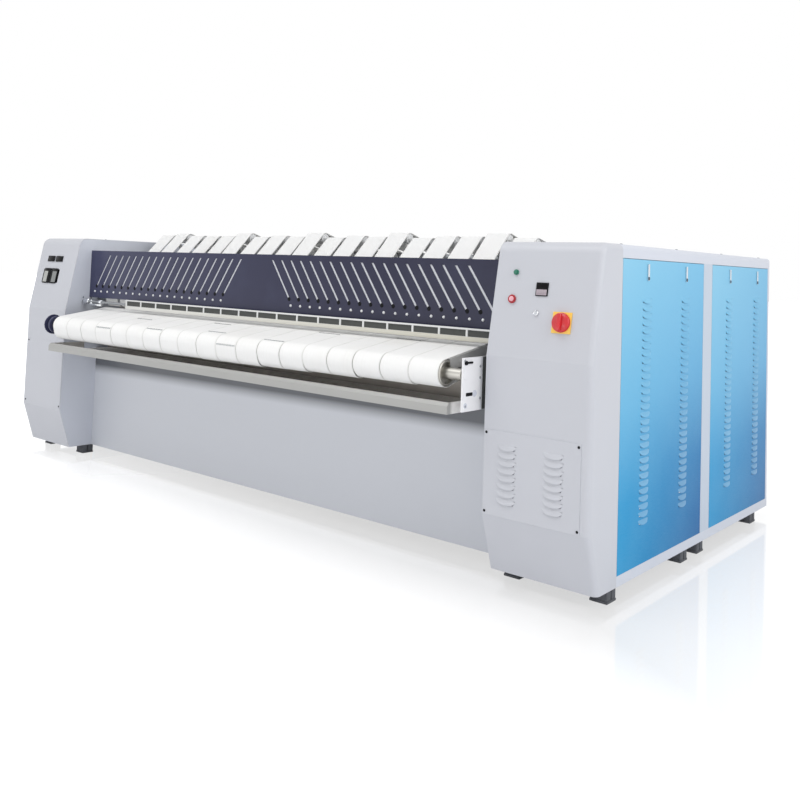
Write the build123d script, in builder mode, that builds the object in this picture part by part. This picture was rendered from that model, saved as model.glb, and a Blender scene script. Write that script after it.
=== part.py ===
from build123d import *
import os
from math import asin, atan2, ceil, cos, degrees, hypot, pi, sin, sqrt, tan

os.makedirs("parts", exist_ok=True)

# Flatwork ironer: two end housings, a feed table between them, two heated
# cylinders one behind the other, and endless belts that carry the linen.
# Millimetres. X runs along the cylinders, Y from the feed side to the rear,
# Z up from the floor. Depths named *_y are measured back from the front
# plane of the housings, heights from the floor.

# ---- the two cylinders, which set how deep the machine is -------------------
drum_radius = 370.0
drum_gap = 40.0             # between the two cylinders
drum_height = 690.0
front_space = 640.0         # from the housings' front to the first centre
rear_space = 178.0          # from the second cylinder to the housings' rear
rear_centre = front_space + 2 * drum_radius + drum_gap
drum_middle = (front_space + rear_centre) / 2
front_drum = (front_space, drum_height)
rear_drum = (rear_centre, drum_height)

# ---- housings --------------------------------------------------------------
working_gap = 3100.0        # clear width between the two housings
housing_width = 455.0
housing_depth = rear_centre + drum_radius + rear_space
housing_top = 1330.0
foot_height = 50.0
front_reach = 150.0         # how far the feed table stands out in front
sheet = 3.0                 # casing sheet
frame_plate = 12.0          # inner side plate that carries the shafts
tuck_depth = 75.0           # how far the front steps back at the floor
tuck_top = 276.0
slant_start = 883.0         # above this the front leans back
slant_lean = 81.5
top_radius = 50.0           # front top edge
edge_radius = 24.0          # outer edges of a housing

# ---- end doors ---------------------------------------------------------------
stile_front = 229.0         # width of the front stile on the end face
door_bay_front = 811.0
mid_post = 102.0
stile_rear = 46.0
rail_low = 40.0             # height of the bottom rail
rail_high = 53.0            # height of the top rail
rail_depth = 40.0
door_gap = 2.0
door_seat = 0.4             # running gap between a door and its bottom rail
door_depth = 14.0
door_sheet = 2.0
louvre_rows = 30
drive_side_rows = 15        # the doors of the drive side have every second row
louvre_pitch = 29.7
louvre_low = 248.0
louvre_length = 70.0
louvre_height = 9.0
louvre_inset = 221.0        # louvre column centre from the door's front edge
louvre_columns = 385.0      # distance between the two columns of a door
latch_height = 1226.0
latch_bar = (14.0, 65.0, 6.0)      # width, height and thickness
latch_tongue = (61.0, 20.0, 3.0)   # reach, width and thickness
tongue_gap = 6.0            # from the door's rear rim to the tongue
spindle_radius = 6.0
fit_gap = 0.6               # round parts in their holes, and belts on rollers
slide_gap = 0.3             # push buttons and keys in the panel
knob_sides = 24             # flats on small round parts, hidden or repeated
roller_sides = 20
journal_sides = 12
shaft_sides = 8

# ---- control panels ----------------------------------------------------------
green_at = (1641.0, 1208.0)
green_radius = 11.0
red_at = (1636.0, 1104.0)
red_radius = 17.0
button_stem = 8.0
button_rise = 6.0
button_travel = 4.0
controller_at = (1764.0, 1146.0)
controller_face = 52.0
controller_body = 46.0
key_at = (1749.0, 1056.0)
switch_at = (1864.0, 1026.0)
switch_plate_size = 84.0
switch_plate_thick = 4.0
knob_radius = 35.0
knob_height = 14.0
knob_shaft = 10.0
meter_size = (80.0, 36.0)
meter_at = ((-1842.0, 1198.0), (-1748.0, 1198.0))
instrument_size = 96.0
instrument_at = ((-1866.0, 1090.0), (-1762.0, 1090.0))
bezel = 5.0
access_thick = 2.0
access_edge = 35.0          # outer margin of an access panel
access_right = (277.0, 600.0)
access_left = (290.0, 690.0)
access_frame = 20.0         # how far a panel overlaps its opening
vent_rows = 8
vent_pitch = 29.0
vent_low = 333.0
vent_length = 70.0
vent_columns = (1656.0, 1858.0)

# ---- cylinders and rollers: centre depth, centre height, radius --------------
drum_wall = 12.0
drum_face = 3000.0
journal_radius = 55.0
bore_radius = 25.0
bearing_size = 170.0
bearing_length = 60.0
feed_front = (-90.0, 806.5, 51.0)
feed_rear = (205.0, 873.0, 35.0)
return_rise = 310.0         # the belts' rollers over or under the cylinders' centres
entry_drop = 220.0
low_drop = 485.0
exit_rise = 100.0
top_before = 125.0          # top roller in front of the gap between the cylinders
low_behind = 220.0          # low roller behind the second cylinder's centre
exit_clear = 45.0           # exit roller's centre behind the second cylinder
nose = (232.0, 960.2, 38.0)
back_return = (drum_middle, drum_height + return_rise, 40.0)
top_return = (drum_middle - top_before, 1268.0, 28.0)
tension = (600.0, 1345.0, 28.0)
rear_entry = (drum_middle, drum_height - entry_drop, 30.0)
rear_low = (rear_centre + low_behind, drum_height - low_drop, 30.0)
rear_exit = (rear_centre + drum_radius + exit_clear, drum_height + exit_rise, 30.0)
roller_face = 2860.0
shaft_radius = 15.0

# ---- belts -------------------------------------------------------------------
belt_count = 19
belt_pitch = 150.0
feed_belt_width = 146.0
press_belt_width = 124.0
feed_belt_thick = 3.0
press_belt_thick = 4.0
slack_swing = 16.0          # how unevenly the tension rollers ride

# ---- feed table ----------------------------------------------------------------
bed_thick = 2.5
bed_flange = 46.0
bed_margin = 3.0            # how far the bed stands out past the rollers' faces
arm_face = 1520.0           # outer face of the feed side plates
arm_thick = 6.0
arm_right = (-112.0, 190.0, 667.0, 873.0)   # depth from, depth to, height from, height to
arm_left_radius = 58.0
arm_left_back = (190.0, 762.0, 850.0)
tray_half = 1470.0
tray_front = -140.0
tray_low = 655.0
tray_lip = 45.0
panel_recess = 226.0

# ---- rear covers ---------------------------------------------------------------
hood_top = 1240.0
hood_lip = 60.0
hood_slope = 165.0
delivery_high = 950.0       # the linen comes out between these two heights
delivery_low = 735.0
delivery_lip = 60.0

# ---- guard and safety bar --------------------------------------------------------
guard_y = 158.0
guard_low = 968.0
guard_high = 1258.0
guard_flange = 22.0
slot_count = 19             # in each of the two fans
slot_pitch = 67.7
slot_first = 122.0
slot_high = 1230.0
slot_low = 1043.0
slot_slide = 130.0          # sideways run of a slot
slot_width = 15.0
bar_y = 114.0
bar_low = 917.0
bar_high = 972.0
bar_thick = 8.0
window_count = 21
window_pitch = 144.2
window_width = 134.0
window_low = 937.0
window_high = 964.0
pin_radius = 5.0

# ---- drive -------------------------------------------------------------------------
sprocket_radius = 180.0
sprocket_thick = 15.0
sprocket_x = 1720.0         # inner face of the sprockets, on the left
drive_behind = 330.0        # drive sprocket's centre behind the second cylinder's
drive_drop = 220.0
drive_at = (rear_centre + drive_behind, drum_height - drive_drop)
drive_radius = 60.0
chain_thick = 12.0
gearbox = (140.0, 68.0, 140.0)
motor_radius = 60.0
motor_length = 280.0

# ---- frame of the whole machine --------------------------------------------------
half_gap = working_gap / 2
half_length = half_gap + housing_width
bed_half = roller_face / 2 + bed_margin
y_front = -(housing_depth - front_reach) / 2
y_rear = y_front + housing_depth
bay_front = y_front + stile_front
bay_post = bay_front + door_bay_front
bay_rear = bay_post + mid_post
bay_end = y_rear - stile_rear
bay_top = housing_top - rail_high
bay_low = foot_height + rail_low
belt_centres = [(i - (belt_count - 1) / 2) * belt_pitch for i in range(belt_count)]
sides = (("left", -1), ("right", 1))


def save(part, label):
    part.label = label
    export_step(part, f"parts/{label}.step")


def housing_profile(plane, inset):
    """Side outline of a housing, drawn inside itself by inset."""
    with BuildSketch(plane) as profile:
        with BuildLine():
            Polyline(
                (y_front + tuck_depth, foot_height),
                (y_front, tuck_top),
                (y_front, slant_start),
                (y_front + slant_lean, housing_top),
                (y_rear, housing_top),
                (y_rear, foot_height),
                close=True,
            )
        make_face()
        top = profile.vertices().group_by(Axis.Y)[-1].sort_by(Axis.X)
        fillet(top[0], radius=top_radius)
        if inset:
            offset(amount=-inset, kind=Kind.INTERSECTION)
    return profile.sketch


def housing_block(side, inset):
    """Housing as a solid block, soft at its outer edges and bevelled inside."""
    outer = side * (half_length - inset)
    low_x = min(side * half_gap, outer)
    outline = housing_profile(Plane.YZ.offset(low_x), inset)
    with BuildPart() as block:
        add(outline)
        extrude(amount=housing_width - inset, dir=(1, 0, 0))
        rim = block.edges().filter_by_position(Axis.X, outer - 0.5, outer + 0.5)
        rim = rim.filter_by(lambda edge: edge.center().Z > foot_height + 2 * sheet)
        if inset:
            chamfer(rim, length=edge_radius - inset)
        else:
            fillet(rim, radius=edge_radius)
    return block.part


def round_hole(radius, flats=shaft_sides, mode=Mode.ADD):
    """Small hole whose flats clear a round part of this radius."""
    return RegularPolygon(radius, flats, major_radius=False, mode=mode)


def panel_plane(x, z, lift=0.0):
    """Plane on the leaning front of a housing, X along it and Y up its slope."""
    lean = slant_lean / (housing_top - slant_start)
    run = sqrt(1 + lean * lean)
    normal = Vector(0, -1 / run, lean / run)
    origin = Vector(x, y_front + lean * (z - slant_start), z)
    return Plane(origin=origin + normal * lift, x_dir=(1, 0, 0), z_dir=normal)


def belt_line(stops, shift):
    """Closed line around rollers; a stop with a negative radius is passed outside.

    Each stop is (y, z, radius, corners); the corners lie on tangents to the
    circle, so a straight piece never cuts into the roller."""
    count = len(stops)
    headings = []
    for i in range(count):
        y0, z0, r0, _ = stops[i]
        y1, z1, r1, _ = stops[(i + 1) % count]
        span = hypot(y1 - y0, z1 - z0)
        turn = asin((r1 - r0) / span)
        headings.append(atan2(z1 - z0, y1 - y0) - turn)
    points = []
    for i in range(count):
        y0, z0, r0, corners = stops[i]
        radius = r0 + shift
        entry = headings[i - 1]
        sweep = headings[i] - entry
        while sweep <= 0:
            sweep += 2 * pi
        if r0 < 0:
            sweep -= 2 * pi
        step = sweep / corners
        reach = radius / cos(step / 2)
        for k in range(corners):
            angle = entry - pi / 2 + (k + 0.5) * step
            points.append((y0 + reach * cos(angle), z0 + reach * sin(angle)))
    return points


def belt_stop(roller, thick, corners, outside=False):
    """Stop of a belt line for a roller given as depth, height and radius."""
    depth, height, radius = roller
    reach = radius + fit_gap + thick / 2
    return (y_front + depth, height, -reach if outside else reach, corners)


def bent_strip(points, thick):
    """Outline of a sheet bent along points, thickened to the left of its run."""
    left = []
    for i, (y0, z0) in enumerate(points):
        before = points[max(i - 1, 0)]
        after = points[min(i + 1, len(points) - 1)]
        first = atan2(z0 - before[1], y0 - before[0]) if i else None
        second = atan2(after[1] - z0, after[0] - y0) if i < len(points) - 1 else None
        first = second if first is None else first
        second = first if second is None else second
        middle = (first + second) / 2
        reach = thick / cos((second - first) / 2)
        left.append((y0 - reach * sin(middle), z0 + reach * cos(middle)))
    return points + left[::-1]


def rubber_roller(label, roller, half_shaft):
    """Roller with a plain face and a shaft through it."""
    depth, height, radius = roller
    with BuildPart() as body:
        with BuildSketch(Plane.YZ.offset(-roller_face / 2)):
            with Locations((y_front + depth, height)):
                Circle(radius)
        extrude(amount=roller_face)
        with BuildSketch(Plane.YZ.offset(-half_shaft)):
            with Locations((y_front + depth, height)):
                RegularPolygon(shaft_radius, shaft_sides)
        extrude(amount=2 * half_shaft)
    save(body.part, label)


# ==== end housings ==================================================================
shaft_holes = [feed_rear, nose, back_return, top_return, rear_entry, rear_low, rear_exit]
pin_height = bar_high - pin_radius - 1

for name, side in sides:
    inner_x = side * half_gap
    outer_x = side * half_length
    shell_outside = housing_block(side, 0)
    shell_inside = housing_block(side, sheet)

    with BuildPart() as side_frame:
        plate_x = min(inner_x, inner_x + side * frame_plate)
        add(housing_profile(Plane.YZ.offset(plate_x), sheet))
        extrude(amount=frame_plate, dir=(1, 0, 0))
        with BuildSketch(Plane.YZ.offset(plate_x)):
            with Locations(((bay_front + bay_end) / 2, foot_height + sheet)):
                Rectangle(bay_end - bay_front, 2 * sheet)
        extrude(amount=frame_plate)
        with BuildSketch(Plane.YZ.offset(plate_x)):
            for depth, height in (front_drum, rear_drum):
                with Locations((y_front + depth, height)):
                    round_hole(journal_radius + fit_gap, journal_sides)
            for depth, height, _ in shaft_holes:
                with Locations((y_front + depth, height)):
                    round_hole(shaft_radius + fit_gap)
            with Locations((y_front + bar_y + bar_thick / 2, pin_height)):
                round_hole(pin_radius + fit_gap)
        extrude(amount=frame_plate, mode=Mode.SUBTRACT)
    save(side_frame.part, f"side_frame_{name}")

    with BuildPart() as front_casing:
        add(shell_outside)
        add(shell_inside, mode=Mode.SUBTRACT)
        split(bisect_by=Plane.XZ.offset(-bay_front), keep=Keep.TOP)
        low, high = access_right if side > 0 else access_left
        access_inner = half_gap + sheet + access_frame
        access_outer = half_length - access_edge - access_frame
        with BuildSketch(Plane.XZ.offset(-y_front)):
            with Locations((side * (access_inner + access_outer) / 2, (low + high) / 2)):
                Rectangle(access_outer - access_inner, high - low - 2 * access_frame)
        extrude(amount=-sheet, mode=Mode.SUBTRACT)
        if side > 0:
            for spot, radius in ((green_at, button_stem), (red_at, button_stem),
                                 (key_at, button_stem), (switch_at, knob_shaft)):
                with BuildSketch(panel_plane(*spot)):
                    round_hole(radius + slide_gap)
                extrude(amount=-2 * sheet, mode=Mode.SUBTRACT)
            with BuildSketch(panel_plane(*controller_at)):
                Rectangle(controller_body + 2 * fit_gap, controller_body + 2 * fit_gap)
            extrude(amount=-2 * sheet, mode=Mode.SUBTRACT)
        else:
            for spot in meter_at:
                with BuildSketch(panel_plane(*spot)):
                    Rectangle(meter_size[0] - 2 * bezel, meter_size[1] - 2 * bezel)
                extrude(amount=-2 * sheet, mode=Mode.SUBTRACT)
            for spot in instrument_at:
                with BuildSketch(panel_plane(*spot)):
                    Rectangle(instrument_size - 2 * bezel, instrument_size - 2 * bezel)
                extrude(amount=-2 * sheet, mode=Mode.SUBTRACT)
    save(front_casing.part, f"front_casing_{name}")

    with BuildPart() as rear_casing:
        add(shell_outside)
        add(shell_inside, mode=Mode.SUBTRACT)
        split(bisect_by=Plane.XZ.offset(-bay_end), keep=Keep.BOTTOM)
    save(rear_casing.part, f"rear_casing_{name}")

    with BuildPart() as top_cover:
        add(shell_outside)
        add(shell_inside, mode=Mode.SUBTRACT)
        split(bisect_by=Plane.XZ.offset(-bay_end), keep=Keep.TOP)
        split(bisect_by=Plane.XZ.offset(-bay_front), keep=Keep.BOTTOM)
        split(bisect_by=Plane.XY.offset(bay_top), keep=Keep.TOP)
        with BuildSketch(Plane.XZ.offset(-bay_front)):
            with Locations((outer_x - side * door_depth / 2, bay_top + sheet / 2)):
                Rectangle(door_depth, sheet)
        extrude(amount=-(bay_end - bay_front))
    save(top_cover.part, f"top_cover_{name}")

    with BuildPart() as base_rail:
        with BuildSketch(Plane.XZ.offset(-bay_front)):
            with Locations((outer_x - side * rail_depth / 2, foot_height + rail_low / 2)):
                Rectangle(rail_depth, rail_low)
            with Locations((outer_x - side * (rail_depth + sheet) / 2, foot_height + rail_low / 2)):
                Rectangle(rail_depth - sheet, rail_low - 2 * sheet, mode=Mode.SUBTRACT)
        extrude(amount=-(bay_end - bay_front))
    save(base_rail.part, f"base_rail_{name}")

    with BuildPart() as post:
        with BuildSketch(Plane.XY.offset(bay_low)):
            with Locations((outer_x - side * rail_depth / 2, bay_post + mid_post / 2)):
                Rectangle(rail_depth, mid_post)
            with Locations((outer_x - side * (rail_depth + sheet) / 2, bay_post + mid_post / 2)):
                Rectangle(rail_depth - sheet, mid_post - 2 * sheet, mode=Mode.SUBTRACT)
        extrude(amount=bay_top - bay_low)
    save(post.part, f"mid_post_{name}")

    for place, door_from, door_to in (("front", bay_front, bay_post), ("rear", bay_rear, bay_end)):
        middle = (door_from + door_to) / 2
        width = door_to - door_from - 2 * door_gap
        door_low = bay_low + door_seat
        height = bay_top - door_gap - door_low
        face = Plane.YZ.offset(outer_x - (door_depth if side > 0 else 0))
        hollow = Plane.YZ.offset(outer_x - (door_depth if side > 0 else -door_sheet))
        columns = [door_from + louvre_inset, door_from + louvre_inset + louvre_columns]
        rows = louvre_rows if side > 0 else drive_side_rows
        row_pitch = louvre_pitch * louvre_rows / rows
        with BuildPart() as door:
            with BuildSketch(face):
                with Locations((middle, door_low + height / 2)):
                    Rectangle(width, height)
            extrude(amount=door_depth)
            with BuildSketch(hollow):
                with Locations((middle, door_low + height / 2)):
                    Rectangle(width - 2 * door_sheet, height - 2 * door_sheet)
            extrude(amount=door_depth - door_sheet, mode=Mode.SUBTRACT)
            with BuildSketch(face):
                for column in columns:
                    for row in range(rows):
                        with Locations((column, louvre_low + row * row_pitch)):
                            Rectangle(louvre_length, louvre_height)
                    with Locations((column, latch_height)):
                        round_hole(spindle_radius + fit_gap)
            extrude(amount=door_depth, mode=Mode.SUBTRACT)
        save(door.part, f"door_{place}_{name}")

        for index, column in enumerate(columns):
            bar_width, bar_height, bar_depth = latch_bar
            tongue_reach, tongue_width, tongue_thick = latch_tongue
            tongue_x = outer_x - side * (door_depth + tongue_gap)
            with BuildPart() as latch:
                with BuildSketch(Plane.YZ.offset(outer_x)):
                    with Locations((column, latch_height)):
                        Rectangle(bar_width, bar_height)
                extrude(amount=side * bar_depth)
                with BuildSketch(Plane.YZ.offset(outer_x)):
                    with Locations((column, latch_height)):
                        RegularPolygon(spindle_radius, shaft_sides)
                extrude(amount=-side * (door_depth + tongue_gap))
                with BuildSketch(Plane.YZ.offset(tongue_x)):
                    with Locations((column + tongue_reach / 2 - tongue_width / 4, latch_height)):
                        Rectangle(tongue_reach + tongue_width / 2, tongue_width)
                extrude(amount=-side * tongue_thick)
            save(latch.part, f"latch_{place}_{index + 1}_{name}")

# ---- feet ---------------------------------------------------------------------------
foot_depths = (205.0, 880.0, 1060.0, 1750.0)
foot_pad = (80.0, 12.0)
foot_block = 60.0
foot_inset = 36.0
foot_edge = 42.0            # outer feet, from the end face
with BuildPart() as feet:
    for side in (-1, 1):
        for x in (side * (half_gap + foot_inset), side * (half_length - foot_edge)):
            with BuildSketch(Plane.XY):
                for depth in foot_depths:
                    with Locations((x, y_front + depth)):
                        Rectangle(foot_pad[0], foot_pad[0])
            extrude(amount=foot_pad[1])
            with BuildSketch(Plane.XY.offset(foot_pad[1])):
                for depth in foot_depths:
                    with Locations((x, y_front + depth)):
                        Rectangle(foot_block, foot_block)
            extrude(amount=foot_height - foot_pad[1])
save(feet.part, "feet")

# ---- access panels over the lower fronts --------------------------------------------
access_from = half_gap + sheet
access_to = half_length - access_edge
with BuildPart() as access_panels:
    for side, (low, high) in ((1, access_right), (-1, access_left)):
        with BuildSketch(Plane.XZ.offset(-y_front)):
            with Locations((side * (access_from + access_to) / 2, (low + high) / 2)):
                Rectangle(access_to - access_from, high - low)
            if side > 0:
                for column in vent_columns:
                    for row in range(vent_rows):
                        with Locations((column, vent_low + row * vent_pitch)):
                            Rectangle(vent_length, louvre_height, mode=Mode.SUBTRACT)
        extrude(amount=access_thick)
save(access_panels.part, "access_panels")

# ---- controls on the right housing ----------------------------------------------------
stem_length = button_rise + sheet + 14
for label, spot, radius in (("green_button", green_at, green_radius),
                            ("red_button", red_at, red_radius)):
    with BuildPart() as button:
        with BuildSketch(panel_plane(*spot, lift=button_rise)):
            RegularPolygon(radius, knob_sides)
        extrude(amount=button_rise)
        with BuildSketch(panel_plane(*spot, lift=button_rise)):
            RegularPolygon(button_stem, shaft_sides)
        extrude(amount=-stem_length)
    save(button.part, label)

with BuildPart() as controller:
    with BuildSketch(panel_plane(*controller_at)):
        Rectangle(controller_face, controller_face)
    extrude(amount=bezel)
    with BuildSketch(panel_plane(*controller_at)):
        Rectangle(controller_body, controller_body)
    extrude(amount=-controller_face)
save(controller.part, "controller")

with BuildPart() as key_switch:
    with BuildSketch(panel_plane(*key_at, lift=0.4)):
        RegularPolygon(green_radius, knob_sides)
    extrude(amount=bezel)
    with BuildSketch(panel_plane(*key_at, lift=bezel)):
        Rectangle(green_radius / 3, 1.6 * green_radius)
    extrude(amount=bezel)
    with BuildSketch(panel_plane(*key_at, lift=bezel)):
        RegularPolygon(button_stem, shaft_sides)
    extrude(amount=-stem_length - bezel)
save(key_switch.part, "key_switch")

with BuildPart() as switch_plate:
    with BuildSketch(panel_plane(*switch_at)):
        Rectangle(switch_plate_size, switch_plate_size)
        round_hole(knob_shaft + fit_gap, mode=Mode.SUBTRACT)
    extrude(amount=switch_plate_thick)
save(switch_plate.part, "switch_plate")

with BuildPart() as switch_knob:
    with BuildSketch(panel_plane(*switch_at, lift=switch_plate_thick + 0.5)):
        RegularPolygon(knob_radius, knob_sides)
    extrude(amount=knob_height, taper=8)
    with BuildSketch(panel_plane(*switch_at, lift=switch_plate_thick + knob_height)):
        Rectangle(16, 1.7 * knob_radius)
    extrude(amount=knob_height)
    with BuildSketch(panel_plane(*switch_at, lift=switch_plate_thick + knob_height / 2)):
        RegularPolygon(knob_shaft, shaft_sides)
    extrude(amount=-3 * knob_height)
save(switch_knob.part, "switch_knob")

# ---- meters and instruments on the left housing ----------------------------------------
with BuildPart() as gauges:
    for spot in meter_at:
        with BuildSketch(panel_plane(*spot)):
            Rectangle(*meter_size)
        extrude(amount=bezel)
        with BuildSketch(panel_plane(*spot)):
            Rectangle(meter_size[0] - 2 * bezel - 1, meter_size[1] - 2 * bezel - 1)
        extrude(amount=-meter_size[0])
    for spot in instrument_at:
        with BuildSketch(panel_plane(*spot)):
            Rectangle(instrument_size, instrument_size)
        extrude(amount=bezel)
        with BuildSketch(panel_plane(*spot)):
            Rectangle(instrument_size - 2 * bezel - 1, instrument_size - 2 * bezel - 1)
        extrude(amount=-instrument_size)
save(gauges.part, "panel_gauges")

# ==== cylinders =========================================================================
journal_right = half_gap + frame_plate + bearing_length + 18
drum_head = drum_face / 2
drum_inside = drum_head - drum_wall - 3
for label, (depth, height) in (("front_cylinder", front_drum), ("rear_cylinder", rear_drum)):
    centre = (y_front + depth, height)
    with BuildPart() as drum:
        with BuildSketch(Plane.YZ.offset(-drum_head)):
            with Locations(centre):
                Circle(drum_radius)
        extrude(amount=drum_face)
        with BuildSketch(Plane.YZ.offset(-sprocket_x)):
            with Locations(centre):
                RegularPolygon(journal_radius, journal_sides)
        extrude(amount=sprocket_x + journal_right)
        with BuildSketch(Plane.YZ.offset(-sprocket_x - sprocket_thick)):
            with Locations(centre):
                RegularPolygon(sprocket_radius, roller_sides)
        extrude(amount=sprocket_thick)
        with BuildSketch(Plane.YZ.offset(-drum_inside)):
            with Locations(centre):
                RegularPolygon(drum_radius - drum_wall, roller_sides)
        extrude(amount=2 * drum_inside, mode=Mode.SUBTRACT)
        with BuildSketch(Plane.YZ.offset(drum_inside)):
            with Locations(centre):
                RegularPolygon(bore_radius, shaft_sides)
        extrude(amount=journal_right, mode=Mode.SUBTRACT)
    save(drum.part, label)

with BuildPart() as bearings:
    for side in (-1, 1):
        with BuildSketch(Plane.YZ.offset(side * (half_gap + frame_plate))):
            for depth, height in (front_drum, rear_drum):
                with Locations((y_front + depth, height)):
                    Rectangle(bearing_size, bearing_size)
                    round_hole(journal_radius + fit_gap, journal_sides, mode=Mode.SUBTRACT)
        extrude(amount=side * bearing_length)
save(bearings.part, "bearings")

# ==== rollers ===========================================================================
half_shaft = half_gap + frame_plate - 1
rubber_roller("rear_feed_roller", feed_rear, half_shaft)
rubber_roller("nose_roller", nose, half_shaft)
rubber_roller("return_roller", back_return, half_shaft)
rubber_roller("top_roller", top_return, half_shaft)
rubber_roller("rear_entry_roller", rear_entry, half_shaft)
rubber_roller("rear_low_roller", rear_low, half_shaft)
rubber_roller("rear_exit_roller", rear_exit, half_shaft)

feed_centre = (y_front + feed_front[0], feed_front[1])
with BuildPart() as front_feed_roller:
    with BuildSketch(Plane.YZ.offset(-roller_face / 2)):
        with Locations(feed_centre):
            Circle(feed_front[2])
    extrude(amount=roller_face)
    with BuildSketch(Plane.YZ.offset(-(arm_face - 0.5))):
        with Locations(feed_centre):
            RegularPolygon(shaft_radius, shaft_sides)
    extrude(amount=2 * arm_face - 1)
save(front_feed_roller.part, "front_feed_roller")

# ---- tension rollers, one for each pressing belt, on arms from a cross bar ---------------
tension_bar = (front_space + 65, 1200.0, 50.0)      # depth, height and size of the bar
arm_size = (8.0, 24.0)
bar_height_low = 90.0
low_bar_size = 60.0


def tension_height(index):
    """Height of one tension roller: the belts ride unevenly."""
    return tension[1] + slack_swing * sin(2.3 * index) * cos(0.7 * index)


with BuildPart() as tension_rollers:
    for index, x in enumerate(belt_centres):
        height = tension_height(index)
        with BuildSketch(Plane.YZ.offset(x - press_belt_width / 2 + 4)):
            with Locations((y_front + tension[0], height)):
                RegularPolygon(tension[2], shaft_sides)
        extrude(amount=press_belt_width - 8)
save(tension_rollers.part, "tension_rollers")

with BuildPart() as cross_members:
    low_bar = (bar_height_low, low_bar_size)
    rear_bar = housing_depth - low_bar_size - 6 * sheet
    front_bar = panel_recess + sheet + low_bar_size / 2 + 1
    for depth, height, size in ((front_bar, *low_bar), (rear_bar, *low_bar), tension_bar):
        with BuildSketch(Plane.YZ.offset(-half_gap)):
            with Locations((y_front + depth, height)):
                Rectangle(size, size)
                Rectangle(size - 2 * sheet, size - 2 * sheet, mode=Mode.SUBTRACT)
        extrude(amount=working_gap)
    bar_depth, bar_height, bar_size = tension_bar
    for index, x in enumerate(belt_centres):
        height = tension_height(index)
        rise = atan2(height - bar_height - bar_size / 2, tension[0] - bar_depth)
        reach = hypot(height - bar_height - bar_size / 2, tension[0] - bar_depth)
        middle = (y_front + (tension[0] + bar_depth) / 2, (height + bar_height + bar_size / 2) / 2)
        with BuildSketch(Plane.YZ.offset(x + press_belt_width / 2 - 4)):
            with Locations(Location(middle, degrees(rise))):
                Rectangle(reach + arm_size[1], arm_size[1])
        extrude(amount=arm_size[0])
save(cross_members.part, "cross_members")

# ==== belts =============================================================================
feed_loop = [
    belt_stop(feed_front, feed_belt_thick, 4),
    belt_stop(feed_rear, feed_belt_thick, 3),
]
rear_loop = [
    belt_stop(rear_entry, press_belt_thick, 2),
    belt_stop(rear_low, press_belt_thick, 1),
    belt_stop(rear_exit, press_belt_thick, 2),
    belt_stop((*rear_drum, drum_radius), press_belt_thick, 5, outside=True),
]


def press_loop(index):
    """Stops of one pressing belt over the front cylinder."""
    return [
        belt_stop(nose, press_belt_thick, 3),
        belt_stop((*front_drum, drum_radius), press_belt_thick, 3, outside=True),
        belt_stop(back_return, press_belt_thick, 2),
        belt_stop(top_return, press_belt_thick, 1),
        belt_stop((tension[0], tension_height(index), tension[2]), press_belt_thick, 2),
    ]


def belt_set(label, width, thick, loop_of):
    """One belt loop on each belt centre."""
    with BuildPart() as belts:
        for index, x in enumerate(belt_centres):
            stops = loop_of(index)
            with BuildSketch(Plane.YZ.offset(x - width / 2)):
                with BuildLine():
                    Polyline(*belt_line(stops, thick / 2), close=True)
                make_face()
                with BuildLine():
                    Polyline(*belt_line(stops, -thick / 2), close=True)
                make_face(mode=Mode.SUBTRACT)
            extrude(amount=width)
    save(belts.part, label)


belt_set("feed_belts", feed_belt_width, feed_belt_thick, lambda index: feed_loop)
belt_set("pressing_belts", press_belt_width, press_belt_thick, press_loop)
belt_set("rear_belts", press_belt_width, press_belt_thick, lambda index: rear_loop)

# ==== feed table =========================================================================
run = Vector(0, feed_rear[0] - feed_front[0], feed_rear[1] - feed_front[1])
inner_front = feed_front[2] + fit_gap
inner_rear = feed_rear[2] + fit_gap
tilt = atan2(run.Z, run.Y) + asin((inner_rear - inner_front) / run.length)
bed_normal = Vector(0, -sin(tilt), cos(tilt))
bed_along = Vector(0, cos(tilt), sin(tilt))
bed_start = Vector(0, *feed_centre) + bed_normal * (inner_front - 0.5)
bed_from = 20.0
bed_to = run.length - 25
bed_plane = Plane(origin=bed_start, x_dir=(1, 0, 0), z_dir=bed_normal)
tab = (26.0, 20.0)
with BuildPart() as feed_bed:
    with BuildSketch(bed_plane):
        with Locations((0, (bed_from + bed_to) / 2)):
            Rectangle(2 * bed_half, bed_to - bed_from)
    extrude(amount=-bed_thick)
    with BuildSketch(bed_plane):
        for side in (-1, 1):
            with Locations((side * (bed_half - bed_thick / 2), (bed_from + bed_to) / 2)):
                Rectangle(bed_thick, bed_to - bed_from)
    extrude(amount=-bed_flange)
    tab_half = arm_face - arm_thick - 0.3
    with BuildSketch(bed_plane.offset(-bed_flange + tab[1])):
        for side in (-1, 1):
            with Locations((side * (bed_half + tab_half) / 2, (bed_from + bed_to) / 3)):
                Rectangle(tab_half - bed_half, tab[0])
    extrude(amount=-tab[1])
save(feed_bed.part, "feed_bed")

arm_inner = arm_face - arm_thick
boss = 30.0
with BuildPart() as arm_right_plate:
    depth_from, depth_to, low, high = arm_right
    with BuildSketch(Plane.YZ.offset(arm_inner)):
        with Locations((y_front + (depth_from + depth_to) / 2, (low + high) / 2)):
            Rectangle(depth_to - depth_from, high - low)
        with Locations(feed_centre):
            round_hole(shaft_radius + fit_gap, mode=Mode.SUBTRACT)
    extrude(amount=arm_thick)
    with BuildSketch(Plane.YZ.offset(arm_face)):
        for depth in (2 * boss, depth_to - boss):
            with Locations((y_front + depth, (low + high) / 2)):
                Rectangle(boss, 2 * boss)
    extrude(amount=half_gap - arm_face)
save(arm_right_plate.part, "feed_plate_right")

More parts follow.
